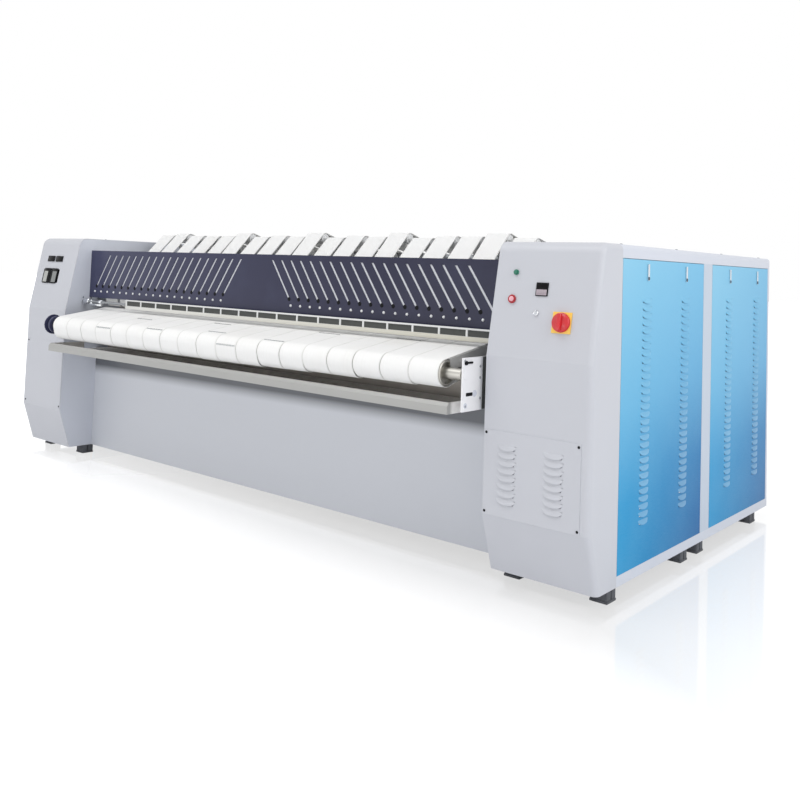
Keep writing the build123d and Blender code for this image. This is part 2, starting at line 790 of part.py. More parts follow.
with BuildPart() as arm_left_plate:
    back, low, high = arm_left_back
    with BuildSketch(Plane.YZ.offset(-arm_face)):
        with Locations(feed_centre):
            RegularPolygon(arm_left_radius, roller_sides)
        with Locations((y_front + (feed_front[0] + back) / 2, (low + high) / 2)):
            Rectangle(back - feed_front[0], high - low)
        with Locations(feed_centre):
            round_hole(shaft_radius + fit_gap, mode=Mode.SUBTRACT)
    extrude(amount=arm_thick)
    with BuildSketch(Plane.YZ.offset(-half_gap)):
        for depth in (2 * boss, back - boss):
            with Locations((y_front + depth, (low + high) / 2)):
                Rectangle(boss, 2 * boss)
    extrude(amount=half_gap - arm_face)
save(arm_left_plate.part, "feed_plate_left")

with BuildPart() as feed_tray:
    lip_top = tray_low + tray_lip
    tray_line = [
        (y_front + tray_front + 12, lip_top),
        (y_front + tray_front, lip_top - 14),
        (y_front + tray_front, tray_low),
        (y_front + panel_recess + 40, tray_low),
    ]
    with BuildSketch(Plane.YZ.offset(-tray_half)):
        with BuildLine():
            Polyline(*bent_strip(tray_line, sheet), close=True)
        make_face()
    extrude(amount=2 * tray_half)
    for side in (-1, 1):
        with BuildSketch(Plane.YZ.offset(side * (tray_half - sheet))):
            with BuildLine():
                Polyline(
                    (y_front + tray_front + sheet / 2, tray_low),
                    (y_front + tray_front + sheet / 2, lip_top - 14),
                    (y_front + tray_front + 14, lip_top),
                    (y_front + 0.4 * panel_recess, lip_top),
                    (y_front + 0.4 * panel_recess, tray_low),
                    close=True,
                )
            make_face()
        extrude(amount=side * sheet)
        with BuildSketch(Plane.XY.offset(tray_low + 14)):
            with Locations((side * (tray_half + arm_inner - 0.3) / 2, y_front + boss)):
                Rectangle(arm_inner - 0.3 - tray_half, boss)
        extrude(amount=14)
save(feed_tray.part, "feed_tray")

# ==== panels between the housings =========================================================
with BuildPart() as lower_front_panel:
    panel_line = [
        (y_front + panel_recess + 30, tray_low - sheet),
        (y_front + panel_recess, tray_low - sheet),
        (y_front + panel_recess, foot_height),
    ]
    with BuildSketch(Plane.YZ.offset(-half_gap)):
        with BuildLine():
            Polyline(*bent_strip(panel_line[::-1], -sheet), close=True)
        make_face()
    extrude(amount=working_gap)
save(lower_front_panel.part, "lower_front_panel")

hood_front = drum_middle + 80
hood_rear = housing_depth - sheet
hood_line = [
    (hood_front, hood_top - hood_lip),
    (hood_front, hood_top),
    (hood_rear - hood_slope, hood_top),
    (hood_rear, hood_top - hood_slope),
    (hood_rear, delivery_high),
]
rear_line = [
    (hood_rear - sheet, foot_height),
    (hood_rear - sheet, delivery_low),
    (hood_rear - delivery_lip, delivery_low + delivery_lip / 2),
]
with BuildPart() as rear_panels:
    for line in (hood_line, rear_line):
        strip = [(y_front + depth, height) for depth, height in line]
        with BuildSketch(Plane.YZ.offset(-half_gap)):
            with BuildLine():
                Polyline(*bent_strip(strip, -sheet), close=True)
            make_face()
        extrude(amount=working_gap)
save(rear_panels.part, "rear_panels")

# ---- slotted guard over the feed nip -------------------------------------------------------
with BuildPart() as guard_panel:
    guard_line = [
        (y_front + guard_y + guard_flange, guard_low),
        (y_front + guard_y, guard_low),
        (y_front + guard_y, guard_high),
        (y_front + guard_y + guard_flange, guard_high),
    ]
    with BuildSketch(Plane.YZ.offset(-half_gap)):
        with BuildLine():
            Polyline(*bent_strip(guard_line, -sheet), close=True)
        make_face()
    extrude(amount=working_gap)
    with BuildSketch(Plane.XZ.offset(-(y_front + guard_y))):
        for side in (-1, 1):
            for index in range(slot_count):
                top = side * (slot_first + index * slot_pitch)
                foot = top + side * slot_slide
                half = slot_width / 2
                with BuildLine():
                    Polyline(
                        (top - half, slot_high),
                        (top + half, slot_high),
                        (foot + half, slot_low),
                        (foot - half, slot_low),
                        close=True,
                    )
                make_face()
    extrude(amount=-2 * sheet, mode=Mode.SUBTRACT)
save(guard_panel.part, "guard_panel")

# ---- safety bar across the mouth, on two pins in the side frames ------------------------------
bar_half = half_gap - 2
with BuildPart() as safety_bar:
    with BuildSketch(Plane.XZ.offset(-(y_front + bar_y))):
        with Locations((0, (bar_low + bar_high) / 2)):
            Rectangle(2 * bar_half, bar_high - bar_low)
        with Locations((0, (window_low + window_high) / 2)):
            with GridLocations(window_pitch, 1, window_count, 1):
                Rectangle(window_width, window_high - window_low, mode=Mode.SUBTRACT)
    extrude(amount=-bar_thick)
    with BuildSketch(Plane.YZ.offset(-half_shaft)):
        with Locations((y_front + bar_y + bar_thick / 2, pin_height)):
            RegularPolygon(pin_radius, shaft_sides)
    extrude(amount=half_shaft - bar_half + pin_radius)
    with BuildSketch(Plane.YZ.offset(half_shaft)):
        with Locations((y_front + bar_y + bar_thick / 2, pin_height)):
            RegularPolygon(pin_radius, shaft_sides)
    extrude(amount=-(half_shaft - bar_half + pin_radius))
save(safety_bar.part, "safety_bar")

# ==== drive in the left housing ===================================================================
frame_face = half_gap + frame_plate
drive_centre = (y_front + drive_at[0], drive_at[1])
with BuildPart() as drive_motor:
    with BuildSketch(Plane.YZ.offset(-frame_face)):
        with Locations(drive_centre):
            Rectangle(gearbox[0], gearbox[2])
    extrude(amount=-gearbox[1])
    motor_plane = Plane.XZ.offset(-(drive_centre[0] - gearbox[0] / 2))
    with BuildSketch(motor_plane):
        with Locations((-(frame_face + motor_radius + 4), drive_centre[1])):
            RegularPolygon(motor_radius, roller_sides)
    extrude(amount=motor_length)
save(drive_motor.part, "drive_motor")

with BuildPart() as drive_sprocket:
    with BuildSketch(Plane.YZ.offset(-sprocket_x - sprocket_thick)):
        with Locations(drive_centre):
            RegularPolygon(drive_radius, roller_sides)
    extrude(amount=sprocket_thick)
    with BuildSketch(Plane.YZ.offset(-sprocket_x)):
        with Locations(drive_centre):
            RegularPolygon(shaft_radius, shaft_sides)
    extrude(amount=sprocket_x - frame_face - gearbox[1] - 0.4)
save(drive_sprocket.part, "drive_sprocket")

chain_loop = [
    belt_stop((*front_drum, sprocket_radius), chain_thick, 7),
    belt_stop((*drive_at, drive_radius), chain_thick, 4),
    belt_stop((*rear_drum, sprocket_radius), chain_thick, 3, outside=True),
]
with BuildPart() as drive_chain:
    with BuildSketch(Plane.YZ.offset(-sprocket_x - sprocket_thick)):
        with BuildLine():
            Polyline(*belt_line(chain_loop, chain_thick / 2), close=True)
        make_face()
        with BuildLine():
            Polyline(*belt_line(chain_loop, -chain_thick / 2), close=True)
        make_face(mode=Mode.SUBTRACT)
    extrude(amount=sprocket_thick)
save(drive_chain.part, "drive_chain")
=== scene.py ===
import itertools
import math
import random
from functools import partialmethod
import bmesh
import bpy
from mathutils import Matrix, Vector


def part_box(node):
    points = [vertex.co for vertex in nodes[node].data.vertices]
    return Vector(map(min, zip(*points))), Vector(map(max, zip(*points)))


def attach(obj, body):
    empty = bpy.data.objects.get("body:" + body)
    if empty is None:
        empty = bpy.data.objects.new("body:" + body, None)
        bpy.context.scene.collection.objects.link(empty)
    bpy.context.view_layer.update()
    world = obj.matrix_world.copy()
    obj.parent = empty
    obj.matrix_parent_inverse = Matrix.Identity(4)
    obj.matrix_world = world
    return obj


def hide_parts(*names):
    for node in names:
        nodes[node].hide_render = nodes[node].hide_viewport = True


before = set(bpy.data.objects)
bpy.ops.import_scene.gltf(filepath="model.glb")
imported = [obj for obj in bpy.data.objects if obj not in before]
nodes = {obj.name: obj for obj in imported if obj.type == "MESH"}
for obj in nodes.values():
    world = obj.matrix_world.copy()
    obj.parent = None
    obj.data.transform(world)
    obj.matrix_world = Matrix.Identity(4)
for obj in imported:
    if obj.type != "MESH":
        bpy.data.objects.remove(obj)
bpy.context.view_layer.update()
print("frame loaded with", len(nodes), "nodes")

# the machine's own planes in metres, as the CAD has them
machine = {
    "front": -0.909, "halfGap": 1.55, "halfLength": 2.005, "top": 1.33,
    "slantStart": 0.883, "slantLean": 0.0815,
}
sides = {"left": -1, "right": 1}


def depthAt(depth):
    # depths count from the housings' front face
    return machine["front"] + depth


# nodes: one helper for shader and geometry trees
def pick(sockets, key):
    # a socket by its place, its identifier or its name
    if isinstance(key, int):
        return sockets[key]
    return next(s for s in sockets if s.identifier == key or (s.name == key and s.enabled))


class Wire:
    # a node's output that takes part in plain sums
    def __init__(self, graph, socket):
        self.graph = graph
        self.socket = socket

    def maths(self, operation, *others):
        values = dict(enumerate((self, *others)))
        return self.graph.node("ShaderNodeMath", {"operation": operation}, values)

    __add__ = __radd__ = partialmethod(maths, "ADD")
    __mul__ = __rmul__ = partialmethod(maths, "MULTIPLY")
    __sub__ = partialmethod(maths, "SUBTRACT")
    __truediv__ = partialmethod(maths, "DIVIDE")
    __pow__ = partialmethod(maths, "POWER")
    __gt__ = partialmethod(maths, "GREATER_THAN")
    __lt__ = partialmethod(maths, "LESS_THAN")
    sine = partialmethod(maths, "SINE")
    size = partialmethod(maths, "ABSOLUTE")
    whole = partialmethod(maths, "FLOOR")
    orMore = partialmethod(maths, "MAXIMUM")

    def __rsub__(self, other):
        return self * -1.0 + other

    def __rtruediv__(self, other):
        return self ** -1.0 * other

    def clamped(self):
        return self.orMore(0.0).maths("MINIMUM", 1.0)


class Graph:
    def __init__(self, tree):
        self.tree = tree

    def feed(self, socket, value):
        if isinstance(value, Wire):
            self.tree.links.new(value.socket, socket)
        else:
            socket.default_value = value

    def node(self, kind, settings=None, sockets=None, out=0):
        # settings come first, then the values or links of the sockets; a list feeds one socket in turn
        made = self.tree.nodes.new(kind)
        for key, value in (settings or {}).items():
            if key == "stops":
                ramp = made.color_ramp
                while len(ramp.elements) < len(value):
                    ramp.elements.new(1.0)
                for element, (place, tone) in zip(ramp.elements, value):
                    element.position = place
                    element.color = tone
            else:
                setattr(made, key, value)
        for key, value in (sockets or {}).items():
            for each in value if isinstance(value, list) else [value]:
                self.feed(pick(made.inputs, key), each)
        return made if out is None else Wire(self, pick(made.outputs, out))


def colour(red, green, blue):
    # screen values 0..255 to the linear numbers that a shader takes
    def linear(value):
        value /= 255
        return value / 12.92 if value <= 0.04045 else ((value + 0.055) / 1.055) ** 2.4
    return (linear(red), linear(green), linear(blue), 1.0)


def shade(base, factor):
    return tuple(min(1.0, value * factor) for value in base[:3]) + (1.0,)


class Finish(Graph):
    # one procedural material; plain numbers go straight onto the shader's sockets
    def __init__(self, name, base, constants=None):
        self.material = bpy.data.materials.new(name)
        self.material.use_nodes = True
        super().__init__(self.material.node_tree)
        self.shader = self.tree.nodes["Principled BSDF"]
        for key, value in {"Base Color": base, **(constants or {})}.items():
            self.shader.inputs[key].default_value = value
        self.place = self.node("ShaderNodeTexCoord", out="Object")

    def axes(self):
        parts = self.node("ShaderNodeSeparateXYZ", None, {0: self.place}, None)
        return [Wire(self, socket) for socket in parts.outputs]

    def stretched(self, *scale):
        return self.node("ShaderNodeMapping", None, {"Vector": self.place, "Scale": scale})

    def noise(self, scale, detail=2.0, where=None):
        return self.node("ShaderNodeTexNoise", None, {
            "Vector": where or self.place, "Scale": scale, "Detail": detail}, "Fac")

    def mix(self, factor, first, second):
        return self.node("ShaderNodeMix", {"data_type": "RGBA"}, {
            "Factor_Float": factor, "A_Color": first, "B_Color": second}, "Result_Color")

    def ramp(self, factor, *stops):
        return self.node("ShaderNodeValToRGB", {"stops": stops}, {"Fac": factor})

    def paint(self, wire):
        self.feed(self.shader.inputs["Base Color"], wire)

    def surface(self, tone, roughness, height, strength, distance):
        self.paint(tone)
        self.feed(self.shader.inputs["Roughness"], roughness)
        self.feed(self.shader.inputs["Normal"], self.node("ShaderNodeBump", None, {
            "Height": height, "Strength": strength, "Distance": distance}, "Normal"))
        return self


# finishes, and the heights and depths in metres at which one piece's finish changes, among them where painted
# shadow and painted light begin
zones = {
    "underBelts": {"height": 0.503, "fade": 0.06, "slope": 0.008, "curve": 1.3},
    "trayLip": {"depth": -1.03, "fade": 0.02}, "railLow": 0.9365,
    "door": {"foot": 0.09, "height": 1.185, "start": -0.678, "next": 0.9085, "rearFrom": 0.19, "width": 0.8},
}


def powderCoat(name, base, roughness=0.42, grime=0.05, coat=0.15):
    # sprayed sheet metal: orange peel, faint clouding, dust low down
    made = Finish(name, base, {"Coat Weight": coat, "Coat Roughness": 0.25})
    height = made.axes()[2]
    cloud = made.noise(2.3, 3.0)
    peel = made.noise(420.0)
    low = (1.0 - height * 2.2).clamped() * made.noise(9.0, 4.0)
    tone = made.mix((cloud - 0.35).clamped() * 0.5, shade(base, 1.02), shade(base, 0.955))
    tone = made.mix(low * grime * 4.0, tone, shade(base, 0.8))
    return made.surface(tone, cloud * 0.1 + peel * 0.05 + (roughness - 0.08), peel, 0.1, 0.0006)


housingPaint = powderCoat("housing_paint", colour(198, 200, 207), 0.46, coat=0.06)
framePaint = powderCoat("frame_paint", colour(208, 212, 222), 0.48, coat=0.03)
# painted reflection: the mid posts get a bluer, darker copy of the frame paint, for the blue doors reflected
# in them
postReflectionPaint = powderCoat("post_paint", colour(193, 203, 216), 0.48, coat=0.03)
platePaint = powderCoat("side_plate_paint", colour(240, 240, 242), grime=0.0)
enamel = powderCoat("machine_enamel", colour(74, 86, 98), 0.35, 0.2, 0.3)
backing = powderCoat("guard_backing", colour(212, 214, 220), 0.5, 0.0, 0.0)
nylon = powderCoat("white_nylon", colour(232, 233, 234), 0.35, 0.0, 0.2)

# painted shadow: the lower front panel darkens under the feed belts, where their shade falls
innerPaint = powderCoat("lower_panel_paint", colour(208, 211, 217), 0.48)
along, _, height = innerPaint.axes()
zone = zones["underBelts"]
paintedShadow = ((height - along * zone["slope"] - zone["height"]) / zone["fade"]).clamped() ** zone["curve"]
innerPaint.paint(innerPaint.mix(paintedShadow, colour(207, 210, 217), colour(92, 95, 101)))

# the safety bar's lower rail turns beige and darker to the right
railPaint = powderCoat("rail_paint", colour(226, 227, 226), 0.4, 0.0, 0.2)
along, _, height = railPaint.axes()
rightwardTone = railPaint.mix(((along + 1.0) * 0.45).clamped(), colour(222, 222, 218), colour(206, 203, 190))
railPaint.paint(railPaint.mix(height < zones["railLow"], colour(228, 229, 228), rightwardTone))


def bluePaint(name, lowHighlight=0.0):
    # the doors' paint: pale at the top, deeper low down and towards the rear edge of each door, a painted
    # reflection; the louvres' copy is also paler low down, a painted highlight
    made = Finish(name, colour(120, 185, 222), {
        "Coat Weight": 0.01, "Coat Roughness": 0.25, "Specular IOR Level": 0.08})
    _, along, height = made.axes()
    door = zones["door"]
    rise = ((height - door["foot"]) / door["height"]).clamped()
    across = ((along - door["start"] - (along > door["rearFrom"]) * door["next"]) / door["width"]).clamped()
    high = made.ramp(rise, (0.0, colour(28, 150, 204)), (0.22, colour(34, 152, 206)),
                     (0.52, colour(106, 182, 222)), (1.0, colour(142, 202, 231)))
    deep = made.ramp(rise, (0.0, colour(6, 96, 158)), (0.3, colour(26, 120, 178)),
                     (0.6, colour(94, 168, 212)), (1.0, colour(122, 190, 226)))
    grain = made.noise(30.0, 3.0, made.stretched(1.0, 1.0, 40.0))
    cloud = made.noise(3.0, 3.0)
    # painted highlight: the louvres get paler low down
    stainAndHighlight = ((0.95 - height) * 2.2).clamped() * lowHighlight
    body = made.mix(stainAndHighlight, made.mix(across, high, deep), colour(186, 218, 236))
    faded = ((grain - 0.5) * 0.22 + (cloud - 0.5) * 0.26 + 0.06).clamped()
    tone = made.mix(faded, body, colour(160, 206, 232))
    return made.surface(tone, cloud * 0.12 + 0.3, made.noise(380.0), 0.08, 0.0006)


doorPaint = bluePaint("door_paint")
louvrePaint = bluePaint("louvre_paint", 0.32)


def navyPaint():
    # glossy dark guard, lighter towards the left end, with patchy dust
    made = Finish("guard_paint", colour(44, 45, 72), {
        "Coat Weight": 0.12, "Coat Roughness": 0.2, "Specular IOR Level": 0.22})
    left = ((0.9 - made.axes()[0]) / 2.6).clamped()
    dust = made.noise(6.0, 5.0)
    fine = made.noise(160.0, 3.0)
    tone = made.mix(left * 0.55, colour(36, 37, 62), colour(74, 77, 108))
    tone = made.mix((dust - 0.45).clamped() * 0.5, tone, colour(80, 83, 108))
    return made.surface(tone, dust * 0.18 + fine * 0.06 + 0.26, made.noise(300.0), 0.06, 0.0005)


guardPaint = navyPaint()


def brushed(name, base, roughness=0.32, streak=(1.5, 60.0, 60.0), metallic=1.0):
    # sheet metal with a grain that runs along the machine
    made = Finish(name, base, {"Metallic": metallic})
    grain = made.noise(14.0, 4.0, made.stretched(*streak))
    smudge = made.noise(5.0, 4.0)
    tone = made.mix((grain - 0.3).clamped() * 0.6, shade(base, 1.05), shade(base, 0.8))
    return made.surface(tone, grain * 0.22 + smudge * 0.12 + (roughness - 0.15), grain, 0.12, 0.0004)


stainless = brushed("stainless", colour(178, 178, 177), 0.46, metallic=0.3)
polished = brushed("polished_steel", colour(216, 218, 221), 0.16, (2.0, 20.0, 20.0))
zinc = brushed("zinc_steel", colour(150, 153, 157), 0.45, (8.0, 8.0, 8.0), 0.8)
drumSteel = brushed("drum_steel", colour(182, 177, 172), 0.42, (1.0, 30.0, 30.0), 0.8)
capSteel = brushed("cap_steel", colour(186, 184, 178), 0.36, (2.0, 20.0, 20.0), 0.9)

# painted light: the catch tray is painted bright behind its folded lip, where it lies in shade
traySteel = brushed("tray_steel", colour(178, 178, 177), 0.46, metallic=0.3)
paintedLight = ((traySteel.axes()[1] - zones["trayLip"]["depth"]) / zones["trayLip"]["fade"]).clamped()
traySteel.paint(traySteel.mix(paintedLight, colour(170, 170, 168), colour(253, 251, 248)))

# the belts' sizes; a belt's painted edge shade starts this far from its middle
belts = {
    "count": 19, "pitch": 0.15, "running": 0.0006,
    "feed": {"width": 0.148, "thick": 0.003, "bound": 0.0708},
    "press": {"width": 0.124, "thick": 0.004, "bound": 0.0584},
}


def cloth(name, bound, edgeShade, extra=None):
    # needled belt cloth: plain weave, fibre streaks along the run, slight scorching, grey painted shade along
    # the edges
    made = Finish(name, colour(247, 247, 246), {
        "Sheen Weight": 0.25, "Sheen Roughness": 0.5, **(extra or {})})
    along, depth, height = made.axes()
    run = depth + height * 0.7
    threads = (along * 3900.0).sine() * (run * 3900.0).sine()
    streak = made.noise(9.0, 4.0, made.stretched(34.0, 1.4, 1.4))
    stain = made.noise(3.4, 4.0)
    turns = along / belts["pitch"] + 0.5
    # painted shade along each belt's edges
    edge = (turns - turns.whole() - 0.5).size() * belts["pitch"] > bound
    tone = made.mix((streak - 0.42).clamped() * 0.6, colour(250, 250, 249), colour(230, 229, 226))
    stainAndHighlight = made.mix((stain - 0.55).clamped() * 1.1, tone, colour(218, 214, 204))
    tone = made.mix(edge * (streak * 0.9 + 0.1), stainAndHighlight, edgeShade)
    weave = threads * 0.5 + streak * 0.8 - edge * 0.6
    return made.surface(tone, 0.86 + stain * 0.08, weave, 0.22, 0.0008)


feedCloth = cloth("feed_cloth", belts["feed"]["bound"], colour(220, 219, 216))
pressCloth = cloth("press_cloth", belts["press"]["bound"], colour(176, 176, 174), {
    "Subsurface Weight": 0.5, "Subsurface Scale": 0.012, "Subsurface Radius": (1.0, 0.98, 0.95)})


def moulded(name, base, roughness=0.35, coat=0.0, specular=0.5):
    # plastic with a fine spark-eroded texture and slight handling wear
    made = Finish(name, base, {"Coat Weight": coat, "Specular IOR Level": specular})
    wear = made.noise(24.0, 4.0)
    tone = made.mix((wear - 0.52).clamped() * 1.2, base, shade(base, 1.45))
    return made.surface(tone, wear * 0.18 + (roughness - 0.06), made.noise(900.0), 0.12, 0.0003)


blackPlastic = moulded("black_plastic", colour(22, 23, 26), 0.6, specular=0.12)
displayGlass = moulded("display_glass", colour(12, 11, 14), 0.25, specular=0.12)
paleDial = moulded("pale_dial", colour(176, 177, 174), 0.5)
greyDial = moulded("grey_dial", colour(132, 134, 134), 0.5)
greyKeys = moulded("grey_keys", colour(172, 160, 168), 0.45)
greenPlastic = moulded("green_plastic", colour(24, 116, 92), 0.3, 0.3)
redPlastic = moulded("red_plastic", colour(206, 36, 44), 0.3, 0.3)
darkRedPlastic = moulded("dark_red_plastic", colour(168, 22, 34), 0.35, 0.2)
pinkCap = moulded("pale_cap", colour(236, 176, 186), 0.3, 0.3)
yellowPlastic = moulded("yellow_plastic", colour(250, 200, 86), 0.38, 0.1)
footRubber = moulded("foot_rubber", colour(84, 86, 91), 0.75)
# a dark finish; on the right feed plate it is a painted shadow
darkSheet = moulded("bar_lining", colour(74, 76, 74), 0.8)
print("finishes made")


# building pieces
def linked(name, data):
    made = bpy.data.objects.new(name, data)
    bpy.context.scene.collection.objects.link(made)
    return made


def place(name, mesh, finish, angle, body, slotName, *hidden):
    # edges sharper than the angle in degrees stay crisp
    mesh.materials.clear()
    mesh.materials.append(finish.material)
    mesh.shade_smooth()
    mesh.set_sharp_from_angle(angle=math.radians(angle))
    piece = linked(name, mesh)
    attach(piece, body)
    if hidden:
        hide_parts(*hidden)


class Part:
    # boxes and turned bodies that are gathered into one piece
    def __init__(self, matrix=Matrix.Identity(4)):
        self.shape = bmesh.new()
        self.matrix = matrix

    def at(self, matrix):
        # where the next bodies go
        self.matrix = matrix
        return self

    def turn(self, outline, segments, hollow=False):
        # outline is (height, radius) pairs round the local Z axis; a solid one closes on that axis
        if not hollow:
            outline = [(outline[0][0], 0.0), *outline]
            if outline[-1][1]:
                outline.append((outline[-1][0], 0.0))
        rings = []
        for height, radius in outline:
            angles = [2 * math.pi * k / segments for k in range(segments if radius else 1)]
            rings.append([self.shape.verts.new(self.matrix @ Vector((
                radius * math.cos(angle), radius * math.sin(angle), height))) for angle in angles])
        for lower, upper in zip(rings, rings[1:] + (rings[:1] if hollow else [])):
            for k in range(segments):
                corners = dict.fromkeys((lower[k % len(lower)], lower[(k + 1) % len(lower)],
                                         upper[(k + 1) % len(upper)], upper[k % len(upper)]))
                if len(corners) > 2:
                    self.shape.faces.new(tuple(corners))
        return self

    def box(self, low, high, bevel=0.0, steps=2):
        # box between two corners, with its edges rounded
        body = bmesh.new()
        bmesh.ops.create_cube(body, size=1.0)
        for vert in body.verts:
            vert.co = Vector([a + (at + 0.5) * (b - a) for a, b, at in zip(low, high, vert.co)])
        if bevel:
            bmesh.ops.bevel(body, geom=body.edges[:], offset=bevel, segments=steps,
                            profile=0.5, affect="EDGES")
        body.transform(self.matrix)
        scratch = bpy.data.meshes.new("scratch")
        body.to_mesh(scratch)
        body.free()
        self.shape.from_mesh(scratch)
        bpy.data.meshes.remove(scratch)
        return self

    def slab(self, width, height, back, front, bevel=0.0):
        # a box about the middle of a panel's fitting
        return self.box((-width / 2, -height / 2, back), (width / 2, height / 2, front), bevel)

    def pane(self, size, across, up, bevel=0.0004, front=0.0056):
        # a thin face on a fitting; its edges are shares of the fitting's size
        (width, height), (left, right), (low, high) = size, across, up
        return self.box((width * left, height * low, 0.0045), (width * right, height * high, front), bevel)

    def mesh(self):
        bmesh.ops.recalc_face_normals(self.shape, faces=self.shape.faces)
        mesh = bpy.data.meshes.new("piece")
        self.shape.to_mesh(mesh)
        self.shape.free()
        return mesh

    def put(self, name, finish, slotName, *hidden, body="machine", angle=35.0):
        place(name, self.mesh(), finish, angle, body, slotName, *hidden)


def panelMatrix(x, z):
    # local X along the machine, Y up the leaning front, Z out of it
    lean = machine["slantLean"] / (machine["top"] - machine["slantStart"])
    size = math.hypot(1, lean)
    up, out = Vector((0, lean / size, 1 / size)), Vector((0, -1 / size, lean / size))
    matrix = Matrix((Vector((1, 0, 0)), up, out)).transposed().to_4x4()
    matrix.translation = Vector((x, depthAt(lean * (z - machine["slantStart"])), z))
    return matrix


def acrossMatrix(depth, height, x=0.0):
    # local Z along the machine's X
    matrix = Matrix(((0, 0, 1), (1, 0, 0), (0, 1, 0))).to_4x4()
    matrix.translation = Vector((x, depthAt(depth), height))
    return matrix


# geometry node trees: named sizes in, one finished mesh out
class Recipe(Graph):
    def __init__(self, name, **inputs):
        super().__init__(bpy.data.node_groups.new(name, "GeometryNodeTree"))
        for label, kind in {"Geometry": "Geometry", **inputs, "Material": "Material"}.items():
            self.tree.interface.new_socket(label, in_out="INPUT", socket_type="NodeSocket" + kind)
        self.tree.interface.new_socket("Geometry", in_out="OUTPUT", socket_type="NodeSocketGeometry")
        entry = self.node("NodeGroupInput", out=None)
        self.given = {socket.name: Wire(self, socket) for socket in entry.outputs if socket.name}

    def __getitem__(self, label):
        return self.given[label]

    def vector(self, **parts):
        return self.node("ShaderNodeCombineXYZ", None, parts)

    def line(self, count, offset, start=(0, 0, 0)):
        return self.node("GeometryNodeMeshLine", None, {
            "Count": count, "Offset": offset, "Start Location": start})

    def scatter(self, points, instance, turn=(0, 0, 0)):
        return self.node("GeometryNodeInstanceOnPoints", None, {
            "Points": points, "Instance": instance, "Rotation": turn})

    def storedTurn(self):
        return self.node("GeometryNodeInputNamedAttribute", {"data_type": "FLOAT_VECTOR"}, {
            "Name": "turn"}, "Attribute")

    def shapeOf(self, label):
        return self.node("GeometryNodeObjectInfo", None, {"Object": self[label]}, "Geometry")

    def close(self, geometry):
        solid = self.node("GeometryNodeRealizeInstances", None, {0: geometry})
        coloured = self.node("GeometryNodeSetMaterial", None, {
            "Geometry": solid, "Material": self["Material"]})
        self.node("NodeGroupOutput", None, {0: coloured}, None)
        return self.tree

    def onPoints(self, instance, turn=(0, 0, 0)):
        # the source's points each carry the instance
        return self.close(self.scatter(self["Geometry"], instance, turn))


def grow(tree, source, finish, values):
    # runs a tree on an object and gives back the plain mesh
    values["Material"] = finish.material
    modifier = source.modifiers.new("grow", "NODES")
    modifier.node_group = tree
    for item in tree.interface.items_tree:
        if item.item_type == "SOCKET" and item.in_out == "INPUT" and item.name in values:
            modifier[item.identifier] = values[item.name]
    bpy.context.view_layer.update()
    ready = source.evaluated_get(bpy.context.evaluated_depsgraph_get())
    mesh = bpy.data.meshes.new_from_object(ready)
    source.modifiers.remove(modifier)
    bpy.data.objects.remove(source)
    return mesh


def pointSource(points, turns=None):
    mesh = bpy.data.meshes.new("points")
    mesh.from_pydata([tuple(point) for point in points], [], [])
    if turns:
        stored = mesh.attributes.new("turn", "FLOAT_VECTOR", "POINT")
        for slot, turn in zip(stored.data, turns):
            slot.vector = turn
    return linked("points", mesh)


def outward(mesh):
    # turns a closed mesh right side out
    shape = bmesh.new()
    shape.from_mesh(mesh)
    if shape.calc_volume(signed=True) < 0:
        bmesh.ops.reverse_faces(shape, faces=shape.faces)
        shape.to_mesh(mesh)
    shape.free()
    return mesh


# louvres: the doors' on both ends, and the vents of the right access panel
louvres = {
    "length": 0.086, "height": 0.02, "rise": 0.0054, "thick": 0.001, "grid": (8, 3),
    "round": 0.45, "tail": 0.35, "first": 0.251, "gap": 0.385, "columns": 2,
    "rows": {"left": 15, "right": 30}, "pitch": {"left": 0.0594, "right": 0.0297},
    "doors": {"front": 0.45, "rear": 1.363},
    "vents": {"rows": 8, "pitch": 0.029, "first": 0.336, "from": 1.656, "gap": 0.202},
}


def hoodMesh():
    # one pressed louvre: local X out of the sheet, Y along it, Z up; open below
    length, height, thick, tail = (louvres[key] for key in ("length", "height", "thick", "tail"))
    columns, rows = louvres["grid"]
    hood = Part()

    def corner(i, j, inset):
        u, v = i / columns, j / rows
        swell = math.sin(math.pi * u) ** louvres["round"] if 0 < u < 1 else 0.0
        out = (louvres["rise"] * math.sin(0.5 * math.pi * v) - inset) * swell
        drop = v * (height - inset * 0.4) * (tail + (1 - tail) * swell)
        spot = (max(out, -thick * 0.5), (u - 0.5) * (length - 2 * inset), height / 2 - drop)
        return hood.shape.verts.new(spot)

    outer, inner = ([[corner(i, j, inset) for j in range(rows + 1)] for i in range(columns + 1)]
                    for inset in (0.0, thick))
    steps = [((i, j), (i + 1, j), (i + 1, j + 1), (i, j + 1)) for i in range(columns) for j in range(rows)]
    faces = [[skin[i][j] for i, j in step] for skin in (outer, inner) for step in steps]
    edges = [((i, j), (i + 1, j)) for i in range(columns) for j in (0, rows)]
    edges += [((i, j), (i, j + 1)) for i in (0, columns) for j in range(rows)]
    faces += [(outer[i][j], outer[m][n], inner[m][n], inner[i][j]) for (i, j), (m, n) in edges]
    for face in faces:
        hood.shape.faces.new(face)
    return hood.mesh()


def louvreTree():
    recipe = Recipe("louvreRows", Rows="Int", Pitch="Float", Columns="Int", Gap="Float",
                    Hood="Object", Turn="Float")
    upright = recipe.line(recipe["Rows"], recipe.vector(Z=recipe["Pitch"]))
    level = recipe.line(recipe["Columns"], recipe.vector(Y=recipe["Gap"]))
    grid = recipe.scatter(level, recipe.scatter(upright, recipe.shapeOf("Hood")))
    return recipe.onPoints(grid, recipe.vector(Z=recipe["Turn"]))


hoodTree = louvreTree()
hoodPattern = linked("hoodPattern", hoodMesh())


